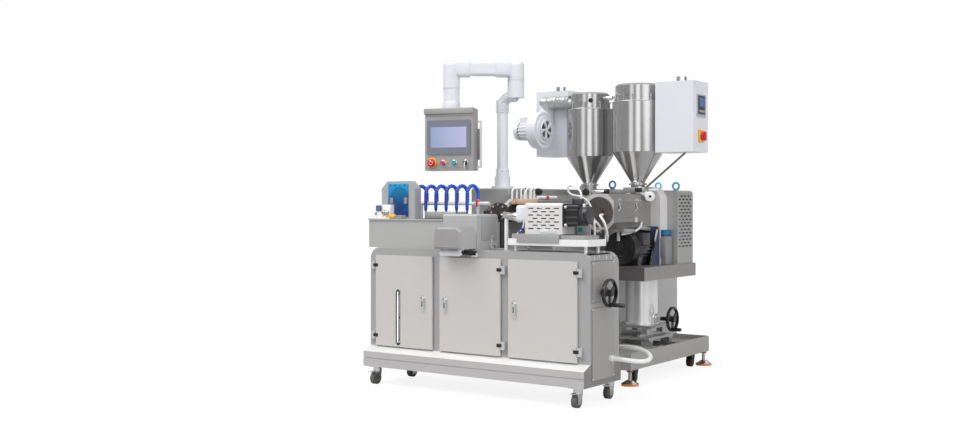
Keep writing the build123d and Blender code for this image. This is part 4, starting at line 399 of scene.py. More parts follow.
def addBench():
    z = benchBits["latchZ"]
    for door, x in benchBits["latches"].items():
        lever, knob = ((x - 9, x + 9), (-5, 3), (z + 18, z + 40), 3), ((x, 2, z - 30), (x, -2.5, z - 30), 6)
        groove = ((x - 4, x + 4), (0.2, 1.2), (z - 22, z + 14), 0.3)
        addPieces(door, {
            door + "_latch_lever": dict(paint="chrome", boxes=[lever], rods=[knob]),
            door + "_latch_groove": dict(paint="motorGrey", boxes=[groove]),
        })
    for door, (x, hand) in benchBits["hinges"].items():
        x += hand * benchBits["screwIn"]
        screws = [((x, 11, z + drop), (x, 9.5, z + drop), 3.2, 12)
                  for z in benchBits["hingeZs"] for drop in benchBits["screwDrops"]]
        addPieces(door, {door + "_hinge_screws": dict(paint="hollow", rods=screws)})
    x, half, y = benchBits["slotX"], benchBits["slotHalf"], benchBits["slotY"]
    left, right, low, high = x - half, x + half, benchBits["slotLow"] + half, benchBits["slotHigh"] - half
    addPieces("left_door", {
        # near-black rods along the slot's edges, thicker on the left: painted shade of the slot's inner walls
        "slot_edge_painted_shade": dict(paint="hollow",
            rods=[((left, y, low), (left, y, high), 3.4, 10), ((right, y, low), (right, y, high), 1.2, 10)],
            rings=[((x, y, high), (0, -1, 0), xAxis, half, 3.0, 180.0, 16),
                ((x, y, low), (0, -1, 0), (-1, 0, 0), half, 3.0, 180.0, 16)]),
        # the slot lining wears the glowing tube paint: painted light
        "slot_lining": dict(paint="levelTube", boxes=[((left - 0.5, left + 0.8), (20, 31), (low - 4, high + 4))]),
    })
    seams = []
    for y0, y1, z0, z1 in benchBits["seamFrames"]:
        seams += [((y0, y1), (z0 - 1.5, z0 + 0.5)), ((y0, y1), (z1 - 0.5, z1 + 1.5)),
                  ((y0 - 1.5, y0 + 0.5), (z0, z1)), ((y1 - 0.5, y1 + 1.5), (z0, z1))]
    addPieces("line", {
        "level_scale": dict(paint="motorGrey",
            boxes=[((x - 12, x - 6), (36, 42), (z - 5, z + 5)) for z in benchBits["markZs"]]),
        # the level plate glows: painted light
        "level_plate": dict(paint="levelBack", boxes=[((x - 28, x + 8), (54, 56), (246, 604))]),
        "panel_screws": dict(paint="chrome",
            balls=[((side, y, z), 6, (0.5, 1, 1)) for y in benchBits["panelYs"] for z in benchBits["panelZs"]
                for side in benchBits["panelXs"]]),
        "panel_seams": dict(paint="hollow", boxes=[(benchBits["seamXs"], ys, zs) for ys, zs in seams]),
        "end_cover": dict(paint="trayGrey", boxes=[((1556, 1560), (66, 326), (836, 868), 1)]),
        "end_strips": dict(paint="seamGrey",
            boxes=[((1560, 1563), (y, y + benchBits["stripWidth"]), (838, 866)) for y in benchBits["stripYs"]]),
    })


addBench()

troughBits = {  # cutter window, gauge, rollers and hoses over the trough
    "hingeXs": (31, 149), "hingeZ": 1183, "paneFront": 122, "screwXs": (22, 62, 100, 140), "screwZ": 1283,
    "rollers": ((-13, 22, 1080, 9), (24, 96, 1081, 13)), "rollerY": 84,
    "hoseXs": range(165, 581, 83), "hoseRear": 326, "hoseFront": 206, "hoseFoot": 1191, "hoseCrown": 1221,
    "hoseTip": 1122, "hoseArc": 57, "bead": 13, "beadPitch": 15, "arcBeads": 10, "nutZs": (1180, 1192),
}


def hosePath():  # y and z of one hose, from its foot over the crown to its tip
    rear, front, arc = troughBits["hoseRear"], troughBits["hoseFront"], troughBits["hoseArc"]
    crown, pitch, count = troughBits["hoseCrown"], troughBits["beadPitch"], troughBits["arcBeads"]
    middle, half = (rear + front) / 2, (rear - front) / 2
    path = [(rear, z) for z in range(troughBits["hoseFoot"], crown, pitch)]
    for i in range(count + 1):
        angle = math.pi * i / count
        path.append((middle + half * math.cos(angle), crown + arc * math.sin(angle)))
    return path + [(front, z) for z in range(crown - pitch, troughBits["hoseTip"], -pitch)]


def addTrough():
    y, z = troughBits["paneFront"], troughBits["hingeZ"]
    leaves, pins, holes = [], [], []
    for x in troughBits["hingeXs"]:
        leaves.append(((x - 13, x + 13), (y - 4, y), (z - 19, z + 19), 1))
        pins.append(((x, y - 4, z - 19), (x, y - 4, z + 19), 4, 12))
        holes += [((x + side, y - 4, z + drop), (x + side, y - 4.6, z + drop), 2.4, 10)
                  for side in (-8, 8) for drop in (-11, 0, 11)]
    screwZ = troughBits["screwZ"]
    holes += [((x, y, screwZ), (x, y - 3, screwZ), 5, 12) for x in troughBits["screwXs"]]
    rollers, rollerY = [], troughBits["rollerY"]
    for low, high, z, radius in troughBits["rollers"]:
        rollers += [((low, rollerY, z), (high, rollerY, z), radius, 24, 3),
                    ((low + 4, rollerY, z), (low + 10, rollerY, z), radius + 2, 24, 1)]
    beads, nuts, path = [], [], hosePath()
    front, rear, tip, bead = (troughBits[key] for key in ("hoseFront", "hoseRear", "hoseTip", "bead"))
    nutLow, nutHigh = troughBits["nutZs"]
    for x in troughBits["hoseXs"]:
        beads += [((x, y0 * 0.92 + y1 * 0.08, z0 * 0.92 + z1 * 0.08),
                   (x, y0 * 0.35 + y1 * 0.65, z0 * 0.35 + z1 * 0.65),
                   bead, 14, 0.0, bead - 2.5) for (y0, z0), (y1, z1) in zip(path, path[1:])]
        beads.append(((x, front, tip + 4), (x, front, tip - 14), 9, 14, 0.0, 5))
        nuts.append(((x, rear, nutLow), (x, rear, nutHigh), 13, 16, 0.0, 11))
    addPieces("line", {
        "window_hinges": dict(paint="saddleSteel", boxes=leaves, rods=pins),
        "window_screws": dict(paint="motorGrey", rods=holes),
        "gauge_screen_frame": dict(paint="motorGrey", boxes=[((-64, -20), (74, 82), (1118, 1152), 2)]),
        "gauge_screen": dict(paint="lcdPane", boxes=[((-58, -26), (73, 75), (1124, 1147))]),
        "gauge_knob": dict(paint="saddleSteel", boxes=[((104, 162), (64, 110), (1067, 1090), 3)],
            rods=[((-8, 76, 1106), (44, 76, 1106), 13, 24, 3), ((4, 76, 1106), (14, 76, 1106), 17, 24, 2),
                ((-70, 78, 1100), (-58, 78, 1100), 10)]),
        "guide_rollers": dict(paint="yellowCap", rods=rollers),
        "hose_beads": dict(paint="blueHose", rods=beads),
        "hose_nuts": dict(paint="orangeCap", rods=nuts),
    })


addTrough()

tankBits = {"ductY": -40, "ductZ": 862, "ductEnd": 566, "cables": ((-30, 876), (-44, 870), (-36, 862))}


def addTanks():
    y, z, end, cables = tankBits["ductY"], tankBits["ductZ"], tankBits["ductEnd"], tankBits["cables"]
    addPieces("line", {
        "tank_side_panel": dict(paint="tankPanel", boxes=[((760, 763), (106, 270), (936, 1080), 1)]),
        "tank_lid_box": dict(paint="troughSheet", boxes=[((250, 498), (190, 335), (1067, 1112), 3)]),
        "tank_fittings": dict(paint="chrome",
            boxes=[((761, 775), (196, 236), (884, 906), 2), ((762, 860), (200, 262), (881, 889), 2)],
            rods=[((764, 215, 900), (764, 215, 950), 4, 12)],
            rings=[((768, 215, 958), xAxis, yAxis, 9, 2.5, 360.0, 16, 8)]),
        # the duct mouth wears the glowing duct paint: painted light
        "duct_mouth": dict(paint="ductGrey", rods=[((end, y, z), (end + 36, y, z), 24, 32, 2, 20)]),
        # a near-black disc just inside the duct's mouth is painted shade; the cables are black
        "duct_shade_and_cables": dict(paint="hollow", rods=[((end - 0.6, y, z), (end - 0.1, y, z), 20, 32)]
            + [((706, at, up), (796, at + 34, up - 6), 6, 12) for at, up in cables],
            balls=[((728, at, up + 1), 10) for at, up in cables]
            + [((768, at + 22, up - 4), 10) for at, up in cables]),
        "junction_box": dict(paint="whiteHose", boxes=[((752, 790), (8, 31), (838, 862), 4)]),
    })


addTanks()

pumpBits = {  # painted shade inside the slotted cover (a near-black box), servo detail and fittings
    "coverXs": (1097, 1344), "coverYs": (98, 226), "coverZs": (986, 1148),
    "axisY": 162, "axisZ": 1096, "boltDrops": (-58, 47), "grooveZs": (1058, 1101), "ribZs": (1046, 1080, 1122),
    "pushAt": ((1062, 96, 1010), (1048, 88, 992)),
}


def addPump():
    y, z = pumpBits["axisY"], pumpBits["axisZ"]
    addPieces("line", {
        # a near-black box inside the slotted cover: painted shade seen through the slots
        "cover_inside_painted_shade": dict(paint="hollow", boxes=[(pumpBits["coverXs"], pumpBits["coverYs"], pumpBits["coverZs"])]),
        "cover_clip": dict(paint="whitePaint", boxes=[((1200, 1255), (89, 92), (992, 1015), 1)],
            balls=[((1201, 91, 1023 + i * 19.5), 5) for i in range(0, 7, 2)]),
        "cover_tab": dict(paint="pumpSheet", boxes=[((1256, 1307), (90, 92), (988, 1014), 1)]),
        "tray_front": dict(paint="trayGrey",
            boxes=[((1056, 1349), (53, 59.8), (932, 983), 2), ((1349, 1512), (72, 244), (955, 978), 3)]),
        # near-black strips in the servo's grooves: painted shade in the recesses
        "servo_grooves": dict(paint="hollow",
            boxes=[((1366, 1414), (98.5, 100.4), (low, low + 13), 1) for low in pumpBits["grooveZs"]]),
        "servo_ribs": dict(paint="motorGrey", slot="black_paint",
            boxes=[((1365, 1452), (96.5, 101), (low, low + 8), 2) for low in pumpBits["ribZs"]]
            + [((1403, 1447), (144, 180), (1152, 1193), 5)],
            rods=[((1449, y, z), (1460, y, z), 58, 40, 3), ((1460, y, z), (1500, y, z), 54, 40, 6, 50)]),
        "servo_bolts": dict(paint="chrome",
            rods=[((1364, y - 65, z + drop), (1380, y - 65, z + drop), 9, 12, 2) for drop in pumpBits["boltDrops"]]
            + [((893, y, z), (872, y, z), 6, 12), ((1006, y, 1082), (896, y, 1086), 34, 40, 2, 13)]),
        "coupling_case": dict(paint="whitePaint", boxes=[((1006, 1092), (112, 212), (1052, 1156), 18, 3)],
            rods=[((1466, 148, 1134), (1466, 148, 1163), 9, 16, 2)]),
        "rear_plate": dict(paint="seamGrey", boxes=[((1350, 1442), (262, 268), (955, 1040), 2)]),
        "rear_fitting": dict(paint="greenCap", boxes=[((1362, 1388), (254, 262), (996, 1020), 3)]),
        "push_fittings": dict(paint="blueHose",
            rods=[((x, at, up), (x + 10, at, up + 9), 6, 12) for x, at, up in pumpBits["pushAt"]]),
        "air_tubes": dict(paint="whiteHose",
            rods=[((1010, 80, 962), (1048, 88, 992), 3.5, 10), ((1058, 94, 1001), (1062, 96, 1010), 3.5, 10),
                ((1072, 98, 1019), (1078, 104, 1066), 3.5, 10)]),
    })


addPump()

dieBits = {  # die end of the main barrel, its hoses as (x, front foot, rear foot), and the main hopper's gate
    "x": 760, "z": 1110, "bolts": 8, "boltOut": 50, "hoopFoot": 1188, "hoopTop": 1262,
    "hoops": ((795, 396, 452), (846, 424, 462), (846, 480, 526), (846, 540, 576)),
    "rodX": 835, "rodZ": 1205, "gateY": 1400, "gateZ": 1247,
}


def addDie():
    x, z, out, foot, top = (dieBits[key] for key in ("x", "z", "boltOut", "hoopFoot", "hoopTop"))
    bolts = [((x + out * c, 286, z + out * s), (x + out * c, 296, z + out * s), 7, 6)
             for c, s in around(dieBits["bolts"])]
    feet, hoops = [], []
    for at, low, high in dieBits["hoops"]:
        half = (high - low) / 2
        feet += [((at, y, foot), (at, y, top - half), 6, 12) for y in (low, high)]
        hoops.append(((at, (low + high) / 2, top - half), xAxis, yAxis, half, 6, 180.0, 16))
    rodX, rodZ, gateY, gateZ = dieBits["rodX"], dieBits["rodZ"], dieBits["gateY"], dieBits["gateZ"]
    addPieces("line", {
        "die_bolts": dict(paint="chrome", rods=bolts + [((792, 326, 1148), (800, 374, 1182), 19, 6, 2, 15)]),
        "guide_rod": dict(paint="aluminium",
            rods=[((rodX, 636, rodZ), (rodX, 858, rodZ), 10, 16), ((rodX, 852, rodZ), (rodX, 872, rodZ), 6, 16)]),
        "heater_band": dict(paint="tanBand",
            boxes=[((800, 866), (420, 586), (1161, 1193), 5), ((778, 803), (374, 430), (1160, 1192), 5)]),
        "die_hoses": dict(paint="whiteHose", rods=feet, rings=hoops),
        "die_plugs": dict(paint="blackPaint", boxes=[((780, 804), (512, 553), (1218, 1266), 4)],
            rods=[((800, 686, 1242), (800, 716, 1242), 23, 28, 4)]),
        "rod_mark": dict(paint="redLever", rods=[((rodX, 732, rodZ), (rodX, 758, rodZ), 12, 16)]),
        "main_gate": dict(paint="chrome", boxes=[((698, 752), (1402, 1440), (1222, 1292), 4)],
            rods=[((806, gateY, gateZ), (906, gateY, gateZ), 18, 28, 2)]),
        "main_gate_knobs": dict(paint="blackPaint",
            rods=[((906, gateY, gateZ), (934, gateY, gateZ), 20, 28, 4),
                ((764, 1370, 1246), (764, 1398, 1246), 26, 20, 4, 22)]),
    })


addDie()

dryBits = {  # hoppers, with the radius of lid and shell and the rim's height, and the blower
    "main_lid_clamps": {"at": (760, 1444), "lid": 137, "shell": 165, "rim": 1828, "body": "line"},
    "co_lid_clamps": {"at": (1172, 1387), "lid": 154, "shell": 174.5, "rim": 1856, "body": "co_extruder"},
    "clampTurns": range(-75, 241, 45), "portTurn": -58, "portZ": 1888,
    "sightTurn": -8, "sightOut": 176, "sightZs": (1588, 1674), "sightHalf": 18,
    "blower": (437, 1288, 1690), "blades": 5, "hub": 12, "bladeOut": 63, "spokes": 18, "spokeOut": 66,
    "foil": (39, 43, 38, 42, 44, 38, 41, 43, 39), "foilPitch": 26, "foilBack": 92, "foilZ": 1895,
}


def aim(at, degrees):  # gives places at a distance and height, in one direction from a middle
    dx, dy = math.cos(math.radians(degrees)), math.sin(math.radians(degrees))
    return lambda out, z: (at[0] + dx * out, at[1] + dy * out, z)


def addLidClamps(name):
    values = dryBits[name]
    lid, rim, rods = values["lid"], values["rim"], []
    for degrees in dryBits["clampTurns"]:
        out = aim(values["at"], degrees)
        rods += [(out(lid + 5, rim + 4), out(lid + 5, rim + 46), 6, 12),
                 (out(lid - 6, rim + 46), out(lid + 14, rim + 50), 7, 12)]
    bead = ((*values["at"], rim + 4), zAxis, xAxis, values["shell"] - 2, 3.5, 360.0, 64, 8)
    addPieces(values["body"], {name: dict(paint="saddleSteel", slot="polished_steel", rods=rods, rings=[bead])})


def addHoppers():
    addLidClamps("main_lid_clamps")
    addLidClamps("co_lid_clamps")
    x, y = dryBits["main_lid_clamps"]["at"]
    port, portZ = aim((x, y), dryBits["portTurn"]), dryBits["portZ"]
    addPieces("line", {
        # a near-black disc in the lid's port: painted shade of the hole
        "main_port_hole": dict(paint="hollow", rods=[(port(130, portZ), port(140, portZ), 16, 24, 2)]),
        "main_lid_spout": dict(paint="chrome", rods=[((x + 120, y - 20, 1905), (x + 196, y - 20, 1905), 15, 24, 2)]),
    })
    x, y, z = aim(dryBits["co_lid_clamps"]["at"], dryBits["sightTurn"])(dryBits["sightOut"], 0)
    low, high = dryBits["sightZs"]
    half = dryBits["sightHalf"]
    addPieces("co_extruder", {"hopper_sight_frame": dict(
        paint="chrome", boxes=[((x - 4, x + 1), (y - 16, y + 16), (low + 2, high - 2), 1)],
        rods=[((x, y - half, z), (x, y + half, z), 5, 10) for z in (low, high)]
        + [((x, y + side, low - 4), (x, y + side, high + 4), 5, 10) for side in (-half, half)])})


def addBlower():
    x, y, z = dryBits["blower"]
    foil, pitch = dryBits["foil"], dryBits["foilPitch"]
    pipe = (y + dryBits["foilBack"], dryBits["foilZ"])
    count, hub, tip, out = (dryBits[key] for key in ("blades", "hub", "bladeOut", "spokeOut"))
    blades = [((x + 56, y + hub * c, z + hub * s), (x + 56, y + tip * leanC, z + tip * leanS), 6, 8, 0.0, 14)
              for (c, s), (leanC, leanS) in zip(around(count, 90), around(count, 116))]
    spokes = [((x - 150, y + out * c, z + out * s), (x - 60, y + out * c, z + out * s), 3.5, 8)
              for c, s in around(dryBits["spokes"])]
    wraps = [((x - 40 + i * pitch, *pipe), (x - 12 + i * pitch, *pipe), size, 18, 4, foil[i - 1])
             for i, size in enumerate(foil)]
    addPieces("line", {
        "blower_trim": dict(paint="whitePaint", rods=spokes
            + [((x - 190, y, z), (x - 152, y, z), 66, 40, 10), ((x + 36, y, z), (x + 48, y, z), 104, 48, 3, 98)],
            rings=[((x + 54, y, z), xAxis, yAxis, 70, 6, 360.0, 40)]),
        "blower_dark": dict(paint="motorGrey", slot="black_paint",
            rods=[((x + 48.5, y, z), (x + 54.5, y, z), 66, 40), ((x - 151.5, y, z), (x - 147, y, z), 68, 40)]),
        "blower_blades": dict(paint="whitePaint", rods=blades + [((x + 54, y, z), (x + 62, y, z), 13, 20, 2)]),
        "blower_foil": dict(paint="foil", rods=wraps),
    })


addHoppers()
addBlower()

controlBits = {"x": 1630.8, "switchY": 1416, "switchZ": 1613, "hingeZs": (1560, 1740, 1930)}  # on the right face


def addDryerControls():
    x, y, z = controlBits["x"], controlBits["switchY"], controlBits["switchZ"]
    addPieces("co_extruder", {
        "controller_face": dict(paint="lcdDark", boxes=[((x, x + 3), (1362, 1470), (1758, 1882), 2)]),
        "controller_screen": dict(paint="lcdPane", boxes=[((x + 2, x + 4), (1378, 1454), (1810, 1870))]),
        "controller_keys": dict(paint="coverGrey",
            boxes=[((x + 2, x + 5), (key, key + 14), (1772, 1786), 1) for key in range(1376, 1460, 21)]),
        "switch_plate": dict(paint="yellowCap", boxes=[((1624, 1634), (y - 40, y + 40), (z - 40, z + 40), 3)]),
        "switch_knob": dict(paint="redLever", boxes=[((1648, 1664), (y - 9, y + 9), (z - 30, z + 30), 5, 3)],
            rods=[((1632, y, z), (1650, y, z), 30, 32, 3, 27)]),
        "dryer_hinges": dict(paint="whitePaint",
            boxes=[((1618, 1626), (1528, 1535), (low, low + 34), 2) for low in controlBits["hingeZs"]]),
    })


addDryerControls()

faceBits = {  # pendant face, and the sleeves of arm and post
    "x": 198.67, "y": 550.49, "face": 45, "bezel": 54, "screen": (-130, 130, 1541, 1679),
    "row": 1438.5, "pitch": 40.7, "handleZs": (1459, 1668), "neckSeam": 1943, "hubSeams": (1999, 2014),
    "sleeves": ((-146, -30), (-405, -303)), "post": (446, 800), "collarZs": ((1324, 1402), (1782, 1867)),
    "screwTurns": (-60, -15),
}


def addPendant():
    x, y, z, pitch = faceBits["x"], faceBits["y"], faceBits["row"], faceBits["pitch"]
    face, bezel = y - faceBits["face"], y - faceBits["bezel"]
    left, right, low, high = faceBits["screen"]
    stop, key = x - 3 * pitch, x + 3 * pitch
    handles = [(sorted((x + side * 177, x + side * 193)), (y + 30, y + 37), faceBits["handleZs"], 1)
               for side in (-1, 1)]
    addPieces("pendant", {
        "pendant_screen": dict(paint="screenPane",
            boxes=[((x + left, x + right), (bezel - 1.2, bezel), (low, high))]),
        "pendant_brow": dict(paint="pendantSteel",
            boxes=[((x - 180, x + 180), (face - 16, face + 20), (1767, 1807), 5),
                ((x - 174, x + 174), (face - 3, face + 5), (1752, 1768), 1)]),
        "stop_ring": dict(paint="yellowCap", rods=[((stop, face, z), (stop, face - 13, z), 36, 40, 3)]),
        "stop_head": dict(paint="redLever", rods=[((stop, face - 20, z), (stop, face - 27, z), 26, 32, 3, 22)]),
        "button_rings": dict(paint="chrome", boxes=[((key - 5, key + 5), (face - 30, face - 22), (z - 46, z + 4), 2)],
            rings=[((stop, face - 27, z), yAxis, xAxis, 13, 1.6, 360.0, 24, 8)]
            + [((at, face - 3, z), yAxis, xAxis, 16, 3.2, 360.0, 28, 8) for at in (x - pitch, x + pitch, key)]),
        "switch_lamp": dict(paint="lcdPane", rods=[((key, face - 21, z), (key, face - 23, z), 8, 20)]),
        "handle_plates": dict(paint="coverPanel", boxes=handles
            + [((x - 46, x + 140), (face - 0.8, face), (1405, 1407))]),
    }, pendantTurn)
    collar = ((x, y, 1804), (x, y, 1851), 60, 48, 3, 58)
    addPieces("pendant", {"neck_collar": dict(paint="whitePaint", rods=[collar])})


def addArm():
    hubX, hubY, _ = armTurn["at"]
    sleeves = [((hubX + low, hubX + high), (hubY - 55, hubY + 55), (2020, 2130), 20, 3)
               for low, high in faceBits["sleeves"]]
    addPieces("arm", {"arm_sleeves": dict(paint="whitePaint", boxes=sleeves)}, armTurn)
    seams = [((hubX, hubY, seam), zAxis, xAxis, 56, 0.9, 360.0, 48, 6) for seam in faceBits["hubSeams"]]
    seams.append(((faceBits["x"], faceBits["y"], faceBits["neckSeam"]), zAxis, xAxis, 56, 1.2, 360.0, 48, 6))
    addPieces("arm", {"arm_seams": dict(paint="seamGrey", slot="white_paint", rings=seams)})
    at, collars, screws = faceBits["post"], [], []
    for low, high in faceBits["collarZs"]:
        collars.append(((*at, low), (*at, high), 44, 8, 3))
        screws += [(aim(at, degrees)(42, rise), 3.6)
                   for degrees in faceBits["screwTurns"] for rise in (low + 22, high - 18)]
    addPieces("line", {
        "post_collars": dict(paint="whitePaint", rods=collars),
        "post_screws": dict(paint="coverPanel", balls=screws),
    })


addPendant()
addArm()

coBits = {  # co-extruder: barrel, gate, motor and gear
    "x": 1172, "barrelSide": 1276, "latchYs": (918, 1154), "latchTop": 1182, "motorZ": 866, "motorFront": 1132,
    "fins": 28, "finOut": 103, "finYs": (1226, 1416), "fanRings": (56, 76, 96),
    "tube": ((1244, 1298, 1040), (1246, 1288, 1014), (1246, 1262, 998),
             (1244, 1220, 983), (1240, 1150, 972), (1226, 1060, 962)),
}


def addBarrel():
    side, top = coBits["barrelSide"], coBits["latchTop"]
    plates = [((side, side + 3), (1140, 1186), (1040, 1108), 1), ((side + 0.2, side + 2), (857, 1243), (1136, 1139))]
    pins, loops, slots = [], [], []
    for y in coBits["latchYs"]:
        plates += [((side, side + 4), (y - 13, y + 13), (top - 66, top), 2),
                   ((side + 4, side + 14), (y - 7, y + 7), (top - 56, top - 10), 3)]
        pins.append(((side + 9, y - 14, top - 12), (side + 9, y + 14, top - 12), 5, 12))
        loops.append(((side + 8, y, top + 2), xAxis, yAxis, 12, 3, 180.0, 14, 8))
        slots += [((side + 3.5, side + 4.6), ys, (top - 60, top - 8)) for ys in ((y - 11, y - 8), (y + 8, y + 11))]
    addPieces("co_extruder", {
        "barrel_latches": dict(paint="chrome", boxes=plates, rods=pins, rings=loops),
        # near-black strips in the latch slots: painted shade
        "latch_slots": dict(paint="hollow", boxes=slots),
    })


def addGate():
    x = coBits["x"]
    addPieces("co_extruder", {
        "gate_slide": dict(paint="saddleSteel", boxes=[((x - 78, x + 84), (1318, 1456), (1240, 1276), 4)]),
        "feed_gate": dict(paint="aluminium",
            rods=[((x + 62, 1387, 1258), (x + 150, 1387, 1258), 9, 14),
                ((x + 88, 1376, 1215), (x + 114, 1344, 1213), 33, 10, 5, 36),
                ((x + 60, 1404, 1216), (x + 94, 1370, 1215), 14, 20),
                ((x + 28, 1330, 1262), (x + 92, 1350, 1222), 27, 6, 4, 20)]),
        # near-black box and disc in the gate's openings: painted shade of the holes
        "gate_hole": dict(paint="hollow", boxes=[((x + 20, x + 66), (1300, 1318.6), (1242, 1272), 3)],
            rods=[((x + 113, 1345, 1213), (x + 115, 1342.5, 1213), 9, 20)]),
    })


def addDrive():
    x, z, front = coBits["x"], coBits["motorZ"], coBits["motorFront"]
    count, out, (near, rear) = coBits["fins"], coBits["finOut"], coBits["finYs"]
    fins = [((x + out * c, near, z + out * s), (x + out * c, rear, z + out * s), 4.5, 6)
            for c, s in around(count, 180 / count)]
    addPieces("co_extruder", {
        "motor_fins": dict(paint="motorGrey", slot="black_paint",
            boxes=[((x + 60, x + 118), (1240, 1340), (z + 20, z + 100), 6)], rods=fins),
        "fan_cap": dict(paint="blackPaint", rods=[((x, front - 4, z), (x, front + 2, z), 34, 32, 3)]),
        "fan_rings": dict(paint="blackPaint",
            rings=[((x, front, z), yAxis, xAxis, radius, 3, 360.0, 40, 8) for radius in coBits["fanRings"]]),
        "side_box": dict(paint="coverPanel",
            boxes=[((1310, 1352), (1454, 1554), (748, 940), 4), ((1314, 1348), (1448, 1456), (800, 930), 3)]),
        "gear_strip": dict(paint="blueSteel", boxes=[((1310, 1340), (1456, 1556), (944, 984), 3)]),
        "hood_window": dict(paint="bracketDark", boxes=[((1243, 1298), (1449, 1450.4), (776, 1004), 0.3)]),
        # a near-black box behind the guard's slots: painted shade seen through the vents
        "guard_inside_painted_shade": dict(paint="hollow", boxes=[((966, 1378), (1572, 1800), (752, 1222))]),
        "gear_case": dict(paint="blueSteel", boxes=[((1377, 1380), (1568, 1640), (860, 1120))]),
    })


def addTubes():
    tube = coBits["tube"]
    addPieces("co_extruder", {
        "feed_tube": dict(paint="whiteHose", boxes=[((1168, 1184), (1092, 1108), (915, 994), 2)],
            rods=[(start, end, 8, 14) for start, end in zip(tube, tube[1:])], balls=[(end, 8) for end in tube[1:]]),
        "barrel_wrap": dict(paint="foil",
            rods=[((1238, 1040, 984), (1238, 1200, 982), 17, 20, 4, 15),
                ((1236, 1290, 1000), (1236, 1440, 990), 15, 20, 4, 12)]),
    })


addBarrel()
addGate()
addDrive()
addTubes()

pedestalBits = {"x": 1172, "y": 1440, "wheelZ": 379, "boltOut": (-130, 130), "stopOut": (-146, 146)}


def addPedestal():
    x, y, z = pedestalBits["x"], pedestalBits["y"], pedestalBits["wheelZ"]
    corners = [(x + dx, y + dy) for dx in pedestalBits["boltOut"] for dy in pedestalBits["boltOut"]]
    addPieces("long_slide", {
        "shaft_collar": dict(paint="chrome", rods=[((x + 106, y, z), (x + 118, y, z), 32, 32, 3)]),
        "saddle_bolts": dict(paint="chrome", rods=[((*corner, 339), (*corner, 347), 9, 6) for corner in corners]),
    })
    stops = [((x + 212, x + 224), (y + out - 22, y + out + 22), (177, 216), 2) for out in pedestalBits["stopOut"]]
    addPieces("line", {"rail_stops": dict(paint="saddleSteel", boxes=stops)})


addPedestal()
print("small pieces added")

cordBits = {  # free hoses and cables, along the same points as the solids, in mm
    "conduit": {"radius": 14, "body": "line", "length": 976, "stiff": "medium", "route": [
        (1594, 264, 258), (1650, 264, 258), (1704, 275, 253), (1750, 308, 247), (1772, 360, 249), (1762, 416, 264),
        (1720, 456, 283), (1663, 479, 295), (1600, 492, 300), (1534, 507, 298), (1470, 533, 290), (1412, 574, 274),
        (1364, 628, 250), (1328, 692, 220), (1307, 748, 190), (1302, 788, 176), (1302, 825, 176)]},
    "left_hose": {"radius": 8, "body": "co_extruder", "length": 302, "stiff": "limp", "route": [
        (1126, 807, 1092), (1126, 784, 1092), (1134, 760, 1088), (1155, 744, 1080), (1182, 742, 1066),
        (1204, 754, 1046), (1213, 776, 1024), (1207, 800, 1004), (1190, 821, 990), (1167, 838, 984),
        (1150, 855, 983), (1150, 875, 983)]},
    "right_hose": {"radius": 8, "body": "co_extruder", "length": 365, "stiff": "limp", "route": [
        (1218, 807, 1092), (1218, 784, 1092), (1226, 762, 1086), (1244, 748, 1074), (1263, 744, 1052),
        (1274, 749, 1022), (1276, 761, 990), (1270, 780, 960), (1256, 804, 936), (1238, 830, 922),
        (1222, 852, 921), (1212, 867, 932), (1208, 875, 950), (1208, 875, 975)]},
    "servo_cable": {"radius": 6, "body": "line", "length": 552, "stiff": "limp", "route": [
        (1439, 162, 1192), (1439, 162, 1216), (1427, 167, 1240), (1400, 175, 1258), (1372, 184, 1270),
        (1344, 194, 1272), (1321, 204, 1259), (1317, 214, 1237), (1333, 222, 1219), (1361, 230, 1212),
        (1393, 237, 1206), (1424, 243, 1189), (1449, 247, 1158), (1465, 249, 1115), (1474, 250, 1066),
        (1478, 250, 1016), (1478, 250, 967)]},
}


def addCord(name, radius, body, length, stiff, route):
    data = bpy.data.curves.new(name + "_line", "CURVE")
    data.dimensions = "3D"
    data.bevel_depth = radius / 1000
    data.bevel_resolution = 5
    data.resolution_u = 12
    line = data.splines.new("NURBS")
    line.points.add(len(route) - 1)
    for point, place in zip(line.points, route):
        point.co = (*spot(*place), 1)
    line.order_u = 3
    line.use_endpoint_u = True
    data.materials.append(paints["whiteHose"])
    piece = addObject(name + "_line", data)
    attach(piece, body)
    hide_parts(name)


for cordName, cordValues in cordBits.items():
    addCord(cordName, **cordValues)
print("cords laid")

studio = {  # floor, light and camera
    "floorHalf": 40.0, "floorWhite": 0.82, "floorBounce": 0.55, "fadeOut": 5.0,
    "suns": (("key", (-0.35, -0.55, 0.95), 2.1, 40.0), ("side", (0.85, -0.35, 0.55), 1.3, 60.0)),
    "worldLevel": 0.46,
    "cameraPlace": (3.95974, -6.7554, 1.16157),
    "cameraTurn": 35.02,
    "lens": 41.41,
    "shiftDown": -0.02044,
    "bandCentre": -59.3,
    "bands": ((-180, 0.42), (-140, 0.44), (-106, 0.46), (-80, 0.34), (-61, 0.38), (-46, 0.32), (-40, 1.6), (-29, 1.6),
              (-23, 0.36), (-15, 0.42), (-9, 2.0), (4, 2.0), (10, 0.30), (28, 0.26), (42, 0.5), (56, 0.34),
              (86, 0.30), (119, 0.28), (150, 0.28), (180, 0.42)),
}


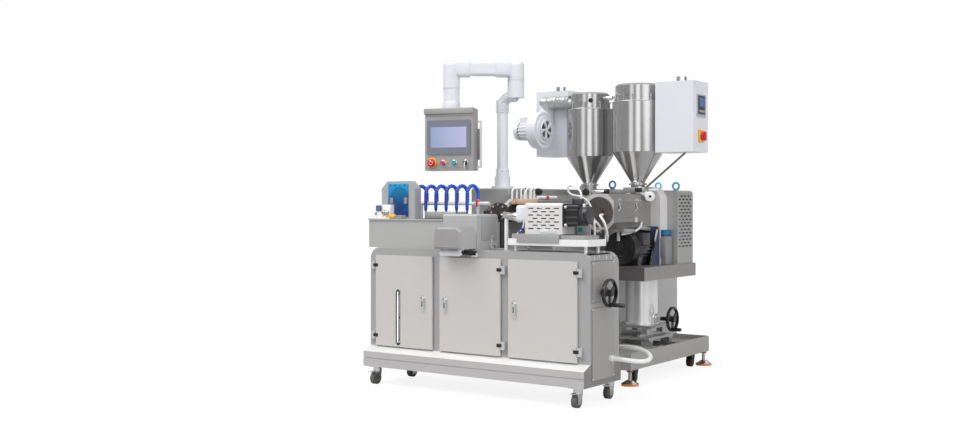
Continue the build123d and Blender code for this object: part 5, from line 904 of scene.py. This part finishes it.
def addFloor():
    mesh = bpy.data.meshes.new("floor")
    shape = bmesh.new()
    bmesh.ops.create_grid(shape, x_segments=1, y_segments=1, size=studio["floorHalf"])
    shape.to_mesh(mesh)
    shape.free()
    floor = addObject("floor", mesh)
    tree, shader = newMaterial("floorWhite")
    floor.data.materials.append(paints["floorWhite"])
    far = addNode(tree, "ShaderNodeVectorMath", objectSpace(tree), operation="LENGTH").outputs["Value"]
    fade = rampNode(tree, mathNode(tree, "DIVIDE", far, studio["fadeOut"]), [(0.3, studio["floorWhite"]), (0.7, 1.0)])
    seen = tree.nodes.new("ShaderNodeLightPath").outputs["Is Camera Ray"]
    base = rampNode(tree, seen, [(0.0, studio["floorBounce"]), (1.0, 0.95)])
    setInputs(tree, shader, {"Base Color": base, "Roughness": 0.9, "Specular IOR Level": 0.0})
    white = addNode(tree, "ShaderNodeEmission", Color=(1, 1, 1, 1), Strength=1.06)
    mix = addNode(tree, "ShaderNodeMixShader", mathNode(tree, "MULTIPLY", fade, seen), shader.outputs[0],
                  white.outputs[0])
    tree.links.new(mix.outputs[0], tree.nodes["Material Output"].inputs["Surface"])
    return floor


def addSun(name, towards, power, angle):
    data = bpy.data.lights.new(name, "SUN")
    data.energy = power
    data.angle = math.radians(angle)
    addObject(name, data).rotation_euler = (-Vector(towards)).to_track_quat("-Z", "Y").to_euler()


def addWorld():  # white to the eye, even for soft light, banded like a studio in the polished steel
    world = bpy.data.worlds.new("studioWorld")
    bpy.context.scene.world = world
    world.use_nodes = True
    tree = world.node_tree
    tree.nodes.clear()
    coord = tree.nodes.new("ShaderNodeTexCoord")
    split = addNode(tree, "ShaderNodeSeparateXYZ", coord.outputs["Generated"])
    turn = mathNode(tree, "ARCTAN2", split.outputs[1], split.outputs[0])
    lean = mathNode(tree, "SUBTRACT", turn, math.radians(studio["bandCentre"]) - math.pi)
    place = mathNode(tree, "FRACT", mathNode(tree, "DIVIDE", lean, 2 * math.pi))
    bands = rampNode(tree, place, [((degrees + 180) / 360, level) for degrees, level in studio["bands"]])
    rise = rampNode(tree, split.outputs[2], [(0.25, 0.0), (0.75, 1.0)])
    blend = addNode(tree, "ShaderNodeMix", data_type="RGBA")
    setInputs(tree, blend, {0: rise, 6: bands, 7: (0.85, 0.85, 0.85, 1)})
    path = tree.nodes.new("ShaderNodeLightPath")
    soft = addNode(tree, "ShaderNodeBackground", Color=(1, 1, 1, 1), Strength=studio["worldLevel"])
    shine = addNode(tree, "ShaderNodeBackground", Color=blend.outputs[2], Strength=1.0)
    white = addNode(tree, "ShaderNodeBackground", Color=(1, 1, 1, 1), Strength=1.0)
    glossy = addNode(tree, "ShaderNodeMixShader", path.outputs["Is Glossy Ray"], soft.outputs[0], shine.outputs[0])
    seen = mathNode(tree, "MAXIMUM", path.outputs["Is Camera Ray"], path.outputs["Is Transmission Ray"])
    mix = addNode(tree, "ShaderNodeMixShader", seen, glossy.outputs[0], white.outputs[0])
    addNode(tree, "ShaderNodeOutputWorld", mix.outputs[0])


def addCamera():
    data = bpy.data.cameras.new("viewCamera")
    data.sensor_width = 36.0
    data.lens = studio["lens"]
    data.shift_y = studio["shiftDown"]
    data.clip_end = 200
    camera = addObject("viewCamera", data)
    camera.location = studio["cameraPlace"]
    camera.rotation_euler = (math.radians(90), 0, math.radians(studio["cameraTurn"]))
    bpy.context.scene.camera = camera


addFloor()
for sunName, towards, power, angle in studio["suns"]:
    addSun(sunName, towards, power, angle)
addWorld()
addCamera()
bpy.context.scene.view_settings.view_transform = "Standard"
print("studio ready")
